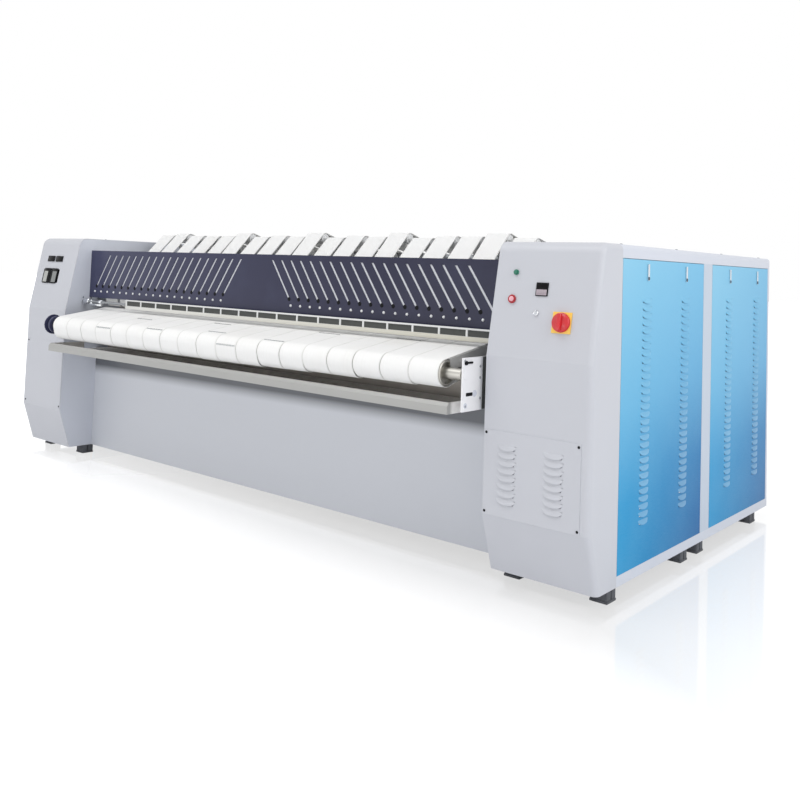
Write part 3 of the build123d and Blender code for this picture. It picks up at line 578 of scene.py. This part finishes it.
def pressLouvres(name, start, rows, pitch, gap, turn, finish, body, slotName):
    mesh = grow(hoodTree, pointSource([start]), finish, {
        "Rows": rows, "Pitch": pitch, "Columns": louvres["columns"], "Gap": gap,
        "Hood": hoodPattern, "Turn": turn})
    place(name, mesh, finish, 50, body, slotName)


for (side, sign), (bay, column) in itertools.product(sides.items(), louvres["doors"].items()):
    depth = column + (louvres["gap"] if sign < 0 else 0)
    pressLouvres(f"louvres_{bay}_{side}", (sign * machine["halfLength"], depthAt(depth), louvres["first"]),
                 louvres["rows"][side], louvres["pitch"][side], louvres["gap"],
                 0.0 if sign > 0 else math.pi, louvrePaint, f"door_{bay}_{side}", "door_paint")
vents = louvres["vents"]
panelFront = depthAt(-0.002)
pressLouvres("panel_louvres", (vents["from"], panelFront, vents["first"]), vents["rows"], vents["pitch"],
             vents["gap"], -math.pi / 2, housingPaint, "machine", "housing_paint")
bpy.data.objects.remove(hoodPattern)
print("louvres pressed")

# belts: closed loops round rollers and cylinders, given by depth, height and radius
axles = {
    "front_feed_roller": (-0.09, 0.8065, 0.051), "rear_feed_roller": (0.205, 0.873, 0.035),
    "nose_roller": (0.232, 0.9602, 0.038), "return_roller": (1.03, 1.000, 0.04),
    "top_roller": (0.905, 1.268, 0.028), "rear_entry_roller": (1.03, 0.47, 0.03),
    "rear_low_roller": (1.64, 0.205, 0.03), "rear_exit_roller": (1.835, 0.79, 0.03),
    "tension": (0.6, 1.345, 0.028),
    "front_cylinder": (0.64, 0.69, 0.37), "rear_cylinder": (1.42, 0.69, 0.37),
}
feedAxis = axles["front_feed_roller"][:2]
slack = {"most": 0.025, "least": 0.003, "uneven": 0.002, "behind": 0.006, "from": 1.5, "over": 1.35}


def beltPlace(index):
    return (index - (belts["count"] - 1) / 2) * belts["pitch"]


def beltLoop(stops, thick):
    # closed line of a belt on tangents between rollers; a stop with True is passed on its outside
    reach = [(-1 if outside else 1) * (radius + belts["running"] + thick / 2)
             for _, _, radius, _, outside in stops]
    headings = []
    for i, (depth, height, *_) in enumerate(stops):
        after = (i + 1) % len(stops)
        across, up = stops[after][0] - depth, stops[after][1] - height
        turn = math.asin((reach[after] - reach[i]) / math.hypot(across, up))
        headings.append(math.atan2(up, across) - turn)
    points = []
    for i, (depth, height, _, corners, outside) in enumerate(stops):
        sweep = headings[i] - headings[i - 1]
        while sweep <= 0:
            sweep += 2 * math.pi
        if outside:
            sweep -= 2 * math.pi
        for k in range(corners + 1):
            angle = headings[i - 1] - math.pi / 2 + sweep * k / corners
            points.append((depthAt(depth) + reach[i] * math.cos(angle), height + reach[i] * math.sin(angle)))
    return points


def beltTree():
    recipe = Recipe("beltLoops", Width="Float", Thickness="Float")
    edge = recipe.node("GeometryNodeCurvePrimitiveQuadrilateral", None, {
        "Width": recipe["Width"], "Height": recipe["Thickness"]})
    soft = recipe.node("GeometryNodeFilletCurve", None, {
        "Curve": edge, "Count": 1, "Radius": recipe["Thickness"] * 0.35})
    return recipe.close(recipe.node("GeometryNodeCurveToMesh", None, {
        "Curve": recipe["Geometry"], "Profile Curve": soft}))


loopTree = beltTree()


def makeBelts(name, size, finish, loopOf, node):
    line = bpy.data.curves.new(name, "CURVE")
    line.dimensions = "3D"
    chance = random.Random(7)
    for index in range(belts["count"]):
        x = beltPlace(index) + chance.uniform(-0.0012, 0.0012)
        points = beltLoop(loopOf(index), size["thick"])
        spline = line.splines.new("POLY")
        spline.use_cyclic_u = True
        spline.points.add(len(points) - 1)
        for slot, (depth, height) in zip(spline.points, points):
            slot.co = (x, depth, height, 1)
    mesh = grow(loopTree, linked(name, line), finish, {"Width": size["width"], "Thickness": size["thick"]})
    place(name, outward(mesh), finish, 40, "machine", "belt_cloth", node)


def stop(name, corners, outside=False, behind=0.0, lift=0.0):
    depth, height, radius = axles[name]
    return (depth + behind, height + lift, radius, corners, outside)


def feedStops(index):
    # the belts hang slack under the front roller, most at the left
    share = min(1.0, max(0.0, (slack["from"] - beltPlace(index)) / slack["over"]))
    sag = max(slack["most"] * share + slack["uneven"] * math.sin(3.1 * index), slack["least"])
    return [stop("front_feed_roller", 14), stop("front_feed_roller", 12, False, slack["behind"], -sag),
            stop("rear_feed_roller", 12)]


def pressStops(index):
    # each tension roller rides at its own height
    lift = 0.016 * math.sin(2.3 * index) * math.cos(0.7 * index)
    return [stop("nose_roller", 10), stop("front_cylinder", 28, True), stop("return_roller", 10),
            stop("top_roller", 8), stop("tension", 8, lift=lift)]


def rearStops(index):
    return [*(stop(f"rear_{place}_roller", 8) for place in ("entry", "low", "exit")),
            stop("rear_cylinder", 28, True)]


makeBelts("feed_belt_loops", belts["feed"], feedCloth, feedStops, "feed_belts")
makeBelts("pressing_belt_loops", belts["press"], pressCloth, pressStops, "pressing_belts")
makeBelts("rear_belt_loops", belts["press"], pressCloth, rearStops, "rear_belts")
print("belts threaded")

# rollers and cylinders
rollerSizes = {
    "face": 1.43, "shaft": 0.015, "end": 1.561, "capEnd": 1.5195, "rim": 0.003, "shoulder": 0.84,
    "dish": 0.8, "chamfer": 0.002, "segments": 48,
}


def mirrored(side):
    # an outline's left half, and then its right
    return [(-along, size) for along, size in reversed(side)] + side


def makeRoller(name, end, finish, hub=0.006, deep=0.004):
    depth, height, radius = axles[name]
    half, shaft, rim, cut = (rollerSizes[part] for part in ("face", "shaft", "rim", "chamfer"))
    collar = shaft * (1.55 if hub > 0.01 else 1.25)
    side = [(half - rim, radius), (half, radius - rim), (half, radius * rollerSizes["shoulder"]),
            (half - deep, radius * rollerSizes["dish"]), (half - deep, collar), (half + hub - cut, collar),
            (half + hub, collar - cut), (half + hub, shaft), (end - 0.001, shaft), (end, shaft - 0.001)]
    roller = Part(acrossMatrix(depth, height)).turn(mirrored(side), rollerSizes["segments"])
    roller.put(name + "_turned", finish, "zinc_steel", name, body=name)


for name in axles:
    if name == "front_feed_roller":
        makeRoller(name, rollerSizes["capEnd"], capSteel, 0.078, 0.014)
    elif name.endswith("_roller"):
        makeRoller(name, rollerSizes["end"], zinc)

drums = {
    "face": 1.5, "rim": 0.006, "step": 0.03, "collar": 0.02, "boss": 0.045, "journal": 0.055,
    "left": -1.735, "right": 1.64, "bore": (0.06, 0.025),
    "sprocket": 0.18, "sprocketFrom": -1.72, "bevel": (0.003, 0.004), "segments": 96,
}


def makeDrum(name):
    depth, height, radius = axles[name]
    face, rim, journal, tooth = (drums[part] for part in ("face", "rim", "journal", "sprocket"))
    left, inner, right = drums["left"], drums["sprocketFrom"], drums["right"]
    across, down = drums["bevel"]
    deep, bore = drums["bore"]
    step, collar, boss = face + drums["step"], journal + drums["collar"], journal + drums["boss"]
    side = [(face - rim, radius), (face, radius - rim), (face, boss), (step, collar), (step, journal)]
    outline = [
        (left, tooth - down), (left + across, tooth), (inner - across, tooth), (inner, tooth - down),
        (inner, journal + 0.012), (inner + 0.03, journal + 0.01), (inner + 0.032, journal), *mirrored(side),
        (right - down, journal), (right, journal - down), (right, bore + 0.001), (right - deep, bore)]
    drum = Part(acrossMatrix(depth, height)).turn(outline, drums["segments"])
    drum.put(name + "_turned", drumSteel, "polished_steel", name, body=name)


makeDrum("front_cylinder")
makeDrum("rear_cylinder")
print("rollers and cylinders turned")

# controls on the right housing: x, z and size, in metres on the leaning front
controls = {
    "green": (1.641, 1.208, 0.011), "red": (1.636, 1.104, 0.017), "rise": 0.012, "stem": 0.007,
    "controller": (1.764, 1.146, 0.052), "socket": 0.045, "keys": 4,
    "key": (1.749, 1.056, 0.011), "keyTurn": -38, "switch": (1.864, 1.026, 0.08, 0.037), "grip": 0.008,
}


def pushButton(name, spot, finish, ringFinish, slotName, mouth):
    # the ring stays on the panel, and the cap presses in through it on its stem
    x, z, radius = spot
    matrix = panelMatrix(x, z)
    rise, stem = controls["rise"], controls["stem"]
    bore = radius * mouth
    cap = bore - 0.0004
    ring = [(-0.0005, bore), (-0.0005, radius - 0.001), (0.0022, radius), (rise * 0.45, radius),
            (rise * 0.62, radius * 0.94), (rise * 0.62, bore)]
    Part(matrix).turn(ring, 40, True).put(name + "_ring", ringFinish, slotName)
    button = [(-0.01, stem), (0.0046, stem), (0.0046, cap), (rise * 0.78, cap), (rise * 0.92, cap * 0.88),
              (rise * 0.99, cap * 0.56), (rise, 0.0)]
    Part(matrix).turn(button, 40).put(name + "_cap", finish, slotName, name, body=name, angle=50)


pushButton("green_button", controls["green"], greenPlastic, greenPlastic, "green_plastic", 0.74)
pushButton("red_button", controls["red"], pinkCap, darkRedPlastic, "red_plastic", 0.62)

x, z, size = controls["controller"]
matrix, socket = panelMatrix(x, z), controls["socket"]
case = Part(matrix).slab(size, size, -0.0005, 0.005, 0.0015)
case.slab(socket, socket, -0.05, 0.001, 0.001)
case.put("controller_case", blackPlastic, "black_plastic", "controller")
display = Part(matrix).pane((size, size), (-0.42, 0.42), (0.02, 0.42))
display.put("controller_display", displayGlass, "black_plastic")
keys = Part(matrix).pane((size, size), (-0.44, 0.44), (-0.44, -0.02), 0.0005, 0.0058)
for k in range(controls["keys"]):
    left = -size * 0.38 + k * size * 0.2
    keys.box((left, -size * 0.34, 0.0055), (left + size * 0.15, -size * 0.2, 0.0072), 0.0006)
keys.put("controller_keys", greyKeys, "black_plastic")

x, z, radius = controls["key"]
stem = radius * 0.7
barrel = [(-0.012, stem), (0.001, stem), (0.001, radius), (0.0035, radius), (0.0052, radius * 0.86)]
key = Part(panelMatrix(x, z)).turn(barrel, 36)
key.at(key.matrix @ Matrix.Rotation(math.radians(controls["keyTurn"]), 4, "Z"))
key.box((-radius / 6, -radius * 0.8, 0.005), (radius / 6, radius * 0.8, 0.0145), 0.0008)
key.put("key_selector", polished, "polished_steel", "key_switch", body="key_switch")

x, z, size, radius = controls["switch"]
backplate = Part(panelMatrix(x, z)).slab(size, size, 0.0, 0.004, 0.0012)
backplate.put("switch_backplate", yellowPlastic, "yellow_plastic", "switch_plate")
dome = [(-0.02, 0.009), (0.0045, 0.009), (0.0045, radius - 0.001), (0.0055, radius),
        (0.015, radius * 0.965), (0.0175, radius * 0.9), (0.0185, 0.0)]
knob, grip = Part(backplate.matrix).turn(dome, 56), controls["grip"]
knob.box((-grip, -radius * 0.85, 0.017), (grip, radius * 0.85, 0.0315), 0.0028, 3)
knob.put("main_switch_knob", redPlastic, "red_plastic", "switch_knob", body="switch_knob", angle=50)

# meters and instruments on the left housing; "dials" are shares of an instrument's width
gauges = {
    "meters": ((-1.842, 1.198), (-1.748, 1.198)), "meter": (0.08, 0.036, 0.07, 0.0015),
    "instruments": ((-1.8555, 1.09), (-1.7725, 1.09)), "instrument": (0.077, 0.096, 0.09, 0.002),
    "edge": 0.006, "dials": ((-0.42, 0.14), (-0.2, 0.42)),
}
cases, windows, leftDial, rightDial = Part(), Part(), Part(), Part()


def gaugeCase(x, z, width, height, deep, bevel):
    matrix = panelMatrix(x, z)
    for part in (cases, windows, leftDial, rightDial):
        part.at(matrix)
    edges = 2 * gauges["edge"]
    cases.slab(width, height, 0.0, 0.005, bevel).slab(width - edges, height - edges, -deep, 0.001)
    return width, height


for x, z in gauges["meters"]:
    windows.pane(gaugeCase(x, z, *gauges["meter"]), (-0.4, 0.4), (-0.32, 0.32))
for (x, z), dial, across in zip(gauges["instruments"], (leftDial, rightDial), gauges["dials"]):
    size = gaugeCase(x, z, *gauges["instrument"])
    dial.pane(size, across, (-0.42, 0.3), 0.0005)
    windows.pane(size, across, (0.33, 0.43))
leftDial.put("left_dial", paleDial, "black_plastic")
rightDial.put("right_dial", greyDial, "black_plastic")
cases.put("gauge_cases", blackPlastic, "black_plastic", "panel_gauges")
windows.put("gauge_windows", displayGlass, "black_plastic")
print("controls fitted")

# screws: a foot and a dome on each point; points carry a "turn" in radians
heads = {"sides": 10, "foot": 0.6, "shoulder": 0.86, "crown": 0.52}
facing = {
    "front": (math.pi / 2, 0, 0), "right": (math.pi / 2, 0, math.pi / 2),
    "rear": (math.pi / 2, 0, math.pi), "up": (0, 0, 0),
}


def fastenerTree():
    recipe = Recipe("fasteners", Radius="Float", Height="Float", Sides="Int")

    def cone(below, above, share):
        return recipe.node("GeometryNodeMeshCone", {"fill_type": "NGON"}, {
            "Vertices": recipe["Sides"], "Radius Top": recipe["Radius"] * above,
            "Radius Bottom": below, "Depth": recipe["Height"] * share}, "Mesh")
    foot = cone(recipe["Radius"], heads["shoulder"], heads["foot"])
    dome = cone(recipe["Radius"] * heads["shoulder"], heads["crown"], 1 - heads["foot"])
    raised = recipe.node("GeometryNodeTransform", None, {
        "Geometry": dome, "Translation": recipe.vector(Z=recipe["Height"] * heads["foot"])})
    both = recipe.node("GeometryNodeJoinGeometry", None, {0: [foot, raised]})
    return recipe.onPoints(both, recipe.storedTurn())


headTree = fastenerTree()


def fasten(name, points, way, radius, height, finish, slotName):
    mesh = grow(headTree, pointSource(points, [facing[way]] * len(points)), finish, {
        "Radius": radius, "Height": height, "Sides": heads["sides"]})
    place(name, mesh, finish, 30, "machine", slotName)


# a screw and a grommet at the foot of each slot, given by how far aside and below
guard = {
    "front": 0.158, "slots": 19, "first": 0.252, "pitch": 0.0677, "low": 1.043,
    "screw": (0.018, 0.036), "grommet": (0.004, 0.004), "backing": (0.1613, 0.1626), "half": 1.53,
    "bottom": 0.984, "top": 1.244,
}


def atSlots(fitting):
    aside, below = guard[fitting]
    across = [guard["first"] + k * guard["pitch"] + aside for k in range(guard["slots"])]
    return [(sign * x, depthAt(guard["front"]), guard["low"] - below) for sign in (-1, 1) for x in across]


fasten("guard_screws", atSlots("screw"), "front", 0.0068, 0.005, nylon, "guard_paint")
fasten("guard_grommets", atSlots("grommet"), "front", 0.0105, 0.002, blackPlastic, "guard_paint")
panelScrews = {1: (0.588, 0.289), -1: (0.678, 0.302)}
fasten("panel_screws", [(sign * x, panelFront, z) for sign, heights in panelScrews.items()
                        for z in heights for x in (1.562, 1.961)],
       "front", 0.0055, 0.003, blackPlastic, "housing_paint")

# fittings on the right feed plate, in depth and height
plate = {
    "face": 1.52,
    "screws": ((-0.1, 0.862), (0.004, 0.836), (0.004, 0.792), (0.006, 0.712), (-0.092, 0.688)),
    "boss": (-0.032, 0.733), "pin": (-0.091, 0.69), "lever": (-0.094, 0.8535),
    "tab": ((-0.088, 0.7255), (-0.046, 0.7385)), "handle": ((-0.088, 0.85), (-0.052, 0.8575)),
    # a dark strip that paints the shadow in the gap by the housing
    "seal": ((0.02, 0.668), (0.188, 0.8725)),
}


def plateBox(part, key, out, bevel):
    corners = [(plate["face"] + lift, depthAt(depth), height)
               for lift, (depth, height) in zip((-0.001, out), plate[key])]
    part.at(Matrix.Identity(4)).box(*corners, bevel)


def plateTurn(part, spot, outline, segments, out=0.0):
    part.at(acrossMatrix(*spot, plate["face"] + out)).turn(outline, segments)


fasten("plate_screws", [(plate["face"], depthAt(depth), z) for depth, z in plate["screws"]],
       "right", 0.0055, 0.003, zinc, "frame_paint")
bosses, cap, latch, seal = Part(), Part(), Part(), Part()
plateTurn(bosses, plate["boss"], [
    (0.0, 0.0125), (0.0025, 0.0125), (0.0035, 0.0115), (0.0035, 0.0085), (0.0022, 0.008)], 32)
plateTurn(bosses, plate["pin"], [(0.0, 0.0105), (0.0015, 0.01)], 32)
bosses.put("plate_bosses", framePaint, "frame_paint")
plateTurn(cap, feedAxis, [(0.0, 0.019), (0.0016, 0.0185), (0.0022, 0.016)], 40, 0.0001)
cap.put("plate_shaft_cap", platePaint, "frame_paint")
plateBox(latch, "tab", 0.0016, 0.0006)
plateBox(latch, "handle", 0.006, 0.0015)
plateTurn(latch, plate["lever"], [(0.0, 0.0085), (0.006, 0.008)], 20)
latch.put("plate_latch", blackPlastic, "black_plastic")
# painted shadow: a dark strip for the shaded gap between the plate and the housing
plateBox(seal, "seal", 0.002, 0.0008)
seal.put("plate_seal", darkSheet, "black_plastic")
print("fasteners set")

# belt lacing: one row of wire hooks joins the ends of a belt; rows are belt, run and how far round it
lacing = {
    "count": 22, "pitch": 0.0062, "hook": (0.0013, 0.005, 0.0009), "lift": 0.0042,
    "rows": (
        (0, "top", 0.92), (1, "front", 1.22), (2, "front", 2.9), (3, "front", 0.16), (4, "top", 0.33),
        (-1, "top", 0.4), (-2, "front", 2.7), (-3, "front", 0.5), (-5, "top", 0.6), (-6, "front", 1.0),
        (6, "front", 2.8), (7, "top", 0.22)),
}


def lacingTree():
    recipe = Recipe("beltLacing", Count="Int", Pitch="Float", Hook="Vector")
    wire = recipe.node("GeometryNodeMeshUVSphere", None, {"Segments": 6, "Rings": 4, "Radius": 1.0}, "Mesh")
    hook = recipe.node("GeometryNodeTransform", None, {"Geometry": wire, "Scale": recipe["Hook"]})
    line = recipe.line(recipe["Count"], recipe.vector(X=recipe["Pitch"]),
                       recipe.vector(X=recipe["Pitch"] * (recipe["Count"] - 1.0) * -0.5))
    return recipe.onPoints(recipe.scatter(line, hook), recipe.storedTurn())


def onFeedLoop(run, amount):
    # a place on the outside of the feed belts' loop, and the way it faces there
    (y0, z0, r0), (y1, z1, r1) = axles["front_feed_roller"], axles["rear_feed_roller"]
    slope = math.asin((r0 - r1) / math.hypot(y0 - y1, z0 - z1))
    angle = math.atan2(z0 - z1, y0 - y1) - slope - math.pi / 2
    if run == "top":
        spot, radius = Vector((y1, z1)).lerp(Vector((y0, z0)), amount), r1 + (r0 - r1) * amount
    else:
        angle += amount
        spot, radius = Vector((y0, z0)), r0
    return spot + Vector((math.cos(angle), math.sin(angle))) * (radius + lacing["lift"]), angle


rows = [(belt * belts["pitch"], *onFeedLoop(run, amount)) for belt, run, amount in lacing["rows"]]
laced = pointSource([(x, depthAt(spot[0]), spot[1]) for x, spot, _ in rows],
                    [(angle - math.pi / 2, 0, 0) for _, _, angle in rows])
mesh = grow(lacingTree(), laced, zinc, {
    "Count": lacing["count"], "Pitch": lacing["pitch"], "Hook": lacing["hook"]})
place("belt_lacing", mesh, zinc, 60, "machine", "zinc_steel")
print("belts laced")

# safety bar: posts between two rails, hung on a tube at the left
bar = {
    "depth": (0.114, 0.122), "left": -1.09, "right": 1.546, "low": 0.917, "sill": 0.937, "head": 0.964,
    "high": 0.972, "round": 0.0016, "post": 0.0102, "pitch": 0.1442, "posts": (-8, 11),
    "tube": 0.0075, "tubeFrom": -1.549, "tubeLong": 0.457, "tubeHeight": 0.944,
    "clamp": -1.53, "collar": -1.37, "pin": 1.545,
}
front, back = (depthAt(depth) for depth in bar["depth"])
left, right, sill, head, tube = (bar[part] for part in ("left", "right", "sill", "head", "tube"))
rails = Part()
rails.box((left, front, head), (right, back, bar["high"]), bar["round"])
rails.box((left, front + 0.0005, bar["low"]), (right, back - 0.0005, sill), bar["round"])
for k in range(*bar["posts"]):
    middle = (k + 0.5) * bar["pitch"]
    start = middle - bar["post"] / 2 if k > bar["posts"][0] else left
    rails.box((start, front + 0.001, sill - 0.003),
              (middle + bar["post"] / 2, back - 0.001, head + 0.003), 0.001, 1)
rails.put("bar_rails", railPaint, "zinc_steel", "safety_bar", body="safety_bar")
# a dark sheet behind the bar's windows
windowSheet = Part().box((left + 0.006, back - 0.0035, sill - 0.002), (right - 0.004, back - 0.0015, head + 0.002),
                    0.0004, 1)
windowSheet.put("bar_lining", darkSheet, "zinc_steel", body="safety_bar")


def onBar(part, x, outline, segments):
    part.at(acrossMatrix(sum(bar["depth"]) / 2, bar["tubeHeight"], x)).turn(outline, segments)


axle, clamp, long = Part(), Part(), bar["tubeLong"]
onBar(axle, bar["tubeFrom"], [(0.0, tube), (long - 0.002, tube), (long, tube - 0.002)], 24)
onBar(axle, bar["pin"], [(0.0, 0.004), (0.014, 0.005)], 16)
axle.put("bar_tube", zinc, "zinc_steel", body="safety_bar")
onBar(clamp, bar["clamp"], [(0.0, 0.015), (0.003, 0.018), (0.052, 0.018), (0.055, 0.015)], 32)
onBar(clamp, bar["collar"], [(0.0, 0.012), (0.003, 0.014), (0.028, 0.014), (0.031, 0.012)], 32)
clamp.at(Matrix.Identity(4)).box((-1.47, front - 0.004, 0.919), (-1.345, back + 0.004, 0.933), 0.004, 3)
clamp.box((-1.462, front - 0.003, 0.92), (-1.448, back + 0.003, 0.956), 0.004, 3)
clamp.put("bar_clamp", polished, "zinc_steel", body="safety_bar")
print("safety bar hung")

# guard backing and the bracket at the left end of the feed roller
near, far = (depthAt(depth) for depth in guard["backing"])
sheet = Part().box((-guard["half"], near, guard["bottom"]), (guard["half"], far, guard["top"]), 0.0004, 1)
sheet.put("guard_backing", backing, "guard_paint")
ring = Part(acrossMatrix(*feedAxis, -1.496)).turn([
    (0.0, 0.047), (0.006, 0.05), (0.016, 0.05), (0.02, 0.047), (0.02, 0.03), (0.008, 0.028)], 48)
ring.at(acrossMatrix(*feedAxis, -1.49)).turn([(0.0, 0.019), (0.046, 0.019), (0.05, 0.016)], 32)
ring.put("roller_bracket_ring", guardPaint, "guard_paint")
print("bracket fitted")

# latch tips: a small disc on the head of each latch
tips = {"radius": 0.0072, "behind": 0.01, "above": 0.001, "sunk": 0.001}
for (side, sign), bay, k in itertools.product(sides.items(), ("front", "rear"), (1, 2)):
    body = f"latch_{bay}_{k}_{side}"
    low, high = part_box(body)
    size, sunk = tips["radius"], tips["sunk"]
    matrix = acrossMatrix(low.y + tips["behind"] - machine["front"], low.z + size + tips["above"],
                          high.x if sign > 0 else low.x)
    if sign < 0:
        matrix = matrix @ Matrix.Rotation(math.pi, 4, "X")
    tip = Part(matrix).turn([(-sunk, size), (sunk, size), (0.0018, size * 0.8)], 20)
    tip.put(body + "_tip", footRubber, "black_plastic", body=body)

# levelling feet
feet = {
    "inset": 0.036, "edge": 0.042, "depths": (0.205, 0.88, 1.06, 1.75),
    "pad": 0.037, "padHigh": 0.01, "block": 0.035, "groove": 0.003, "height": 0.05,
}


def footMesh():
    # a square pad with soft edges, a screw with its lock nut, and the block in two halves under the housing
    pad, half, groove = feet["pad"], feet["block"], feet["groove"]
    foot = Part().box((-pad, -pad, 0.0), (pad, pad, feet["padHigh"]), 0.003)
    foot.turn([(0.009, 0.018), (0.012, 0.015), (0.0125, 0.01), (0.048, 0.01)], 20)
    foot.turn([(0.02, 0.0165), (0.0215, 0.018), (0.0265, 0.018), (0.028, 0.0165)], 6)
    for near, far in ((-half, -groove), (groove, half)):
        foot.box((-half, near, feet["padHigh"] - 0.0005), (half, far, feet["height"]), 0.0025)
    return foot.mesh()


def patternTree():
    recipe = Recipe("patternOnPoints", Pattern="Object")
    return recipe.onPoints(recipe.shapeOf("Pattern"))


foot = linked("footPattern", footMesh())
spots = [(sign * x, depthAt(depth), 0.0) for sign in (-1, 1)
         for x in (machine["halfGap"] + feet["inset"], machine["halfLength"] - feet["edge"])
         for depth in feet["depths"]]
mesh = grow(patternTree(), pointSource(spots), footRubber, {"Pattern": foot})
bpy.data.objects.remove(foot)
place("levelling_feet", mesh, footRubber, 40, "machine", "black_plastic", "feet")

# screws of the hood and of the rear and top covers
covers = {
    "hood": 1.056, "panel": 1.053, "cover": 1.059, "across": [k * 0.3 for k in range(-5, 6)],
    "columns": [sign * x for sign in (-1, 1) for x in (1.58, 1.975)],
    "rearHeights": (0.09, 0.4, 0.71, 1.02, 1.29), "topDepths": (0.27, 0.8, 1.33, 1.86),
    "screw": 0.007, "hoodTop": (1.14, 1.24),
}
fasten("rear_screws", [(x, covers["hood"], z) for x in covers["across"] for z in (0.98, 1.06)]
       + [(x, covers["panel"], z) for x in covers["across"] for z in (0.08, 0.705)]
       + [(x, covers["cover"], z) for x in covers["columns"] for z in covers["rearHeights"]],
       "rear", covers["screw"], 0.0035, zinc, "frame_paint")
fasten("top_screws", [(x, depthAt(depth), machine["top"]) for x in covers["columns"]
                      for depth in covers["topDepths"]],
       "up", covers["screw"], 0.003, zinc, "frame_paint")
depth, height = covers["hoodTop"]
fasten("hood_screws", [(x, depthAt(depth), height) for x in covers["across"]],
       "up", covers["screw"], 0.003, zinc, "frame_paint")
print("feet, tips and rear screws set")

# finishes on the CAD pieces that stay, by how their names start
finishes = {
    "access_panels": housingPaint, "front_casing": housingPaint, "mid_post": postReflectionPaint, "door_": doorPaint,
    "latch_": polished, "guard_panel": guardPaint, "feed_plate_left": guardPaint,
    "feed_plate_right": platePaint, "safety_bar": railPaint, "feed_bed": stainless, "feed_tray": traySteel,
    "lower_front_panel": innerPaint, "bearings": enamel, "drive_motor": enamel, "tension_rollers": nylon,
    "cross_members": nylon, "drive_sprocket": zinc, "drive_chain": zinc,
}
for name, node in nodes.items():
    finish = next((finishes[start] for start in finishes if name.startswith(start)), framePaint)
    node.data.materials.clear()
    node.data.materials.append(finish.material)


# floor, light and camera
studio = {
    "sky": 0.58, "lift": 0.63, "fade": 0.26, "leftLift": 0.09, "gloss": 0.15, "glossRough": 0.06,
    # where the floor brightens, and over how far
    "ends": (2.0, 0.75), "front": (0.9, 0.45), "rear": (1.05, 0.75), "left": (-0.6, 2.0),
}
lamps = {
    # place, target, power, width and height
    "keyLamp": ((-0.3, -3.4, 6.6), (-0.2, -0.4, 0.8), 150.0, 6.0, 3.0),
    "sideLamp": ((6.5, -1.0, 3.5), (1.6, 0.0, 0.7), 120.0, 4.0, 3.0),
    "leftLamp": ((-5.0, -5.0, 4.0), (-1.0, 0.0, 0.8), 12.0, 4.0, 3.0),
    "lowLamp": ((-0.6, -6.5, 0.9), (-0.3, -0.7, 0.45), 36.0, 6.0, 1.4),
}


def seenRays(graph):
    # 1 for what the camera, gloss and glass see
    path = graph.node("ShaderNodeLightPath", out=None).outputs
    camera, gloss, glass = (
        Wire(graph, path[kind]) for kind in ("Is Camera Ray", "Is Glossy Ray", "Is Transmission Ray"))
    return camera.orMore(gloss).orMore(glass)


def past(edge, place):
    start, over = studio[edge]
    return (place - start) / over


ground = bpy.data.meshes.new("floor")
ground.from_pydata([(-60, -60, 0), (60, -60, 0), (60, 60, 0), (-60, 60, 0)], [], [(0, 1, 2, 3)])
floorPaint = Finish("studio_floor", colour(246, 247, 249), {"Roughness": 0.6})
besides, before, _ = floorPaint.axes()
away = past("ends", besides.size()).orMore(past("front", before * -1.0)).orMore(past("rear", before))
leftwards = past("left", besides * -1.0).clamped()
glossy = floorPaint.node("ShaderNodeBsdfPrincipled", None, {
    "Base Color": (studio["gloss"],) * 3 + (1.0,), "Roughness": studio["glossRough"]})
lifted = floorPaint.node("ShaderNodeEmission", None, {
    "Strength": (away.clamped() * studio["fade"] + leftwards * studio["leftLift"]) + studio["lift"]})
added = floorPaint.node("ShaderNodeAddShader", None, {0: glossy, 1: lifted})
plain = Wire(floorPaint, floorPaint.shader.outputs[0])
chosen = floorPaint.node("ShaderNodeMixShader", None, {0: seenRays(floorPaint), 1: plain, 2: added})
floorPaint.feed(floorPaint.tree.nodes["Material Output"].inputs[0], chosen)
ground.materials.append(floorPaint.material)
linked("floor", ground)

world = bpy.data.worlds.new("studio")
bpy.context.scene.world = world
world.use_nodes = True
sky = Graph(world.node_tree)
background = world.node_tree.nodes["Background"]
background.inputs["Color"].default_value = (1, 1, 1, 1)
sky.feed(background.inputs["Strength"], seenRays(sky) * (1.0 - studio["sky"]) + studio["sky"])

for name, (spot, target, power, width, height) in lamps.items():
    data = bpy.data.lights.new(name, "AREA")
    data.shape = "RECTANGLE"
    data.size = width
    data.size_y = height
    data.energy = power
    lamp = linked(name, data)
    lamp.location = spot
    lamp.rotation_euler = (Vector(target) - Vector(spot)).to_track_quat("-Z", "Y").to_euler()

view = {"place": (3.5309, -3.8384, 1.1963), "yaw": 39.835, "pitch": 3.197, "roll": 2.023,
        "lens": 40.34, "sensor": 36.0, "shiftY": -0.2236, "far": 200.0}
yaw, pitch, roll = (math.radians(view[key]) for key in ("yaw", "pitch", "roll"))
data = bpy.data.cameras.new("camera")
data.lens = view["lens"]
data.sensor_width = view["sensor"]
data.sensor_fit = "HORIZONTAL"
data.shift_y = view["shiftY"]
data.clip_end = view["far"]
camera = linked("camera", data)
swing, tilt, twist = (Matrix.Rotation(turn, 4, axis) for turn, axis in (
    (yaw, "Z"), (math.pi / 2 + pitch, "X"), (roll, "Z")))
camera.matrix_world = Matrix.Translation(view["place"]) @ swing @ tilt @ twist
bpy.context.scene.camera = camera
bpy.context.scene.view_settings.view_transform = "Standard"

print("scene done")
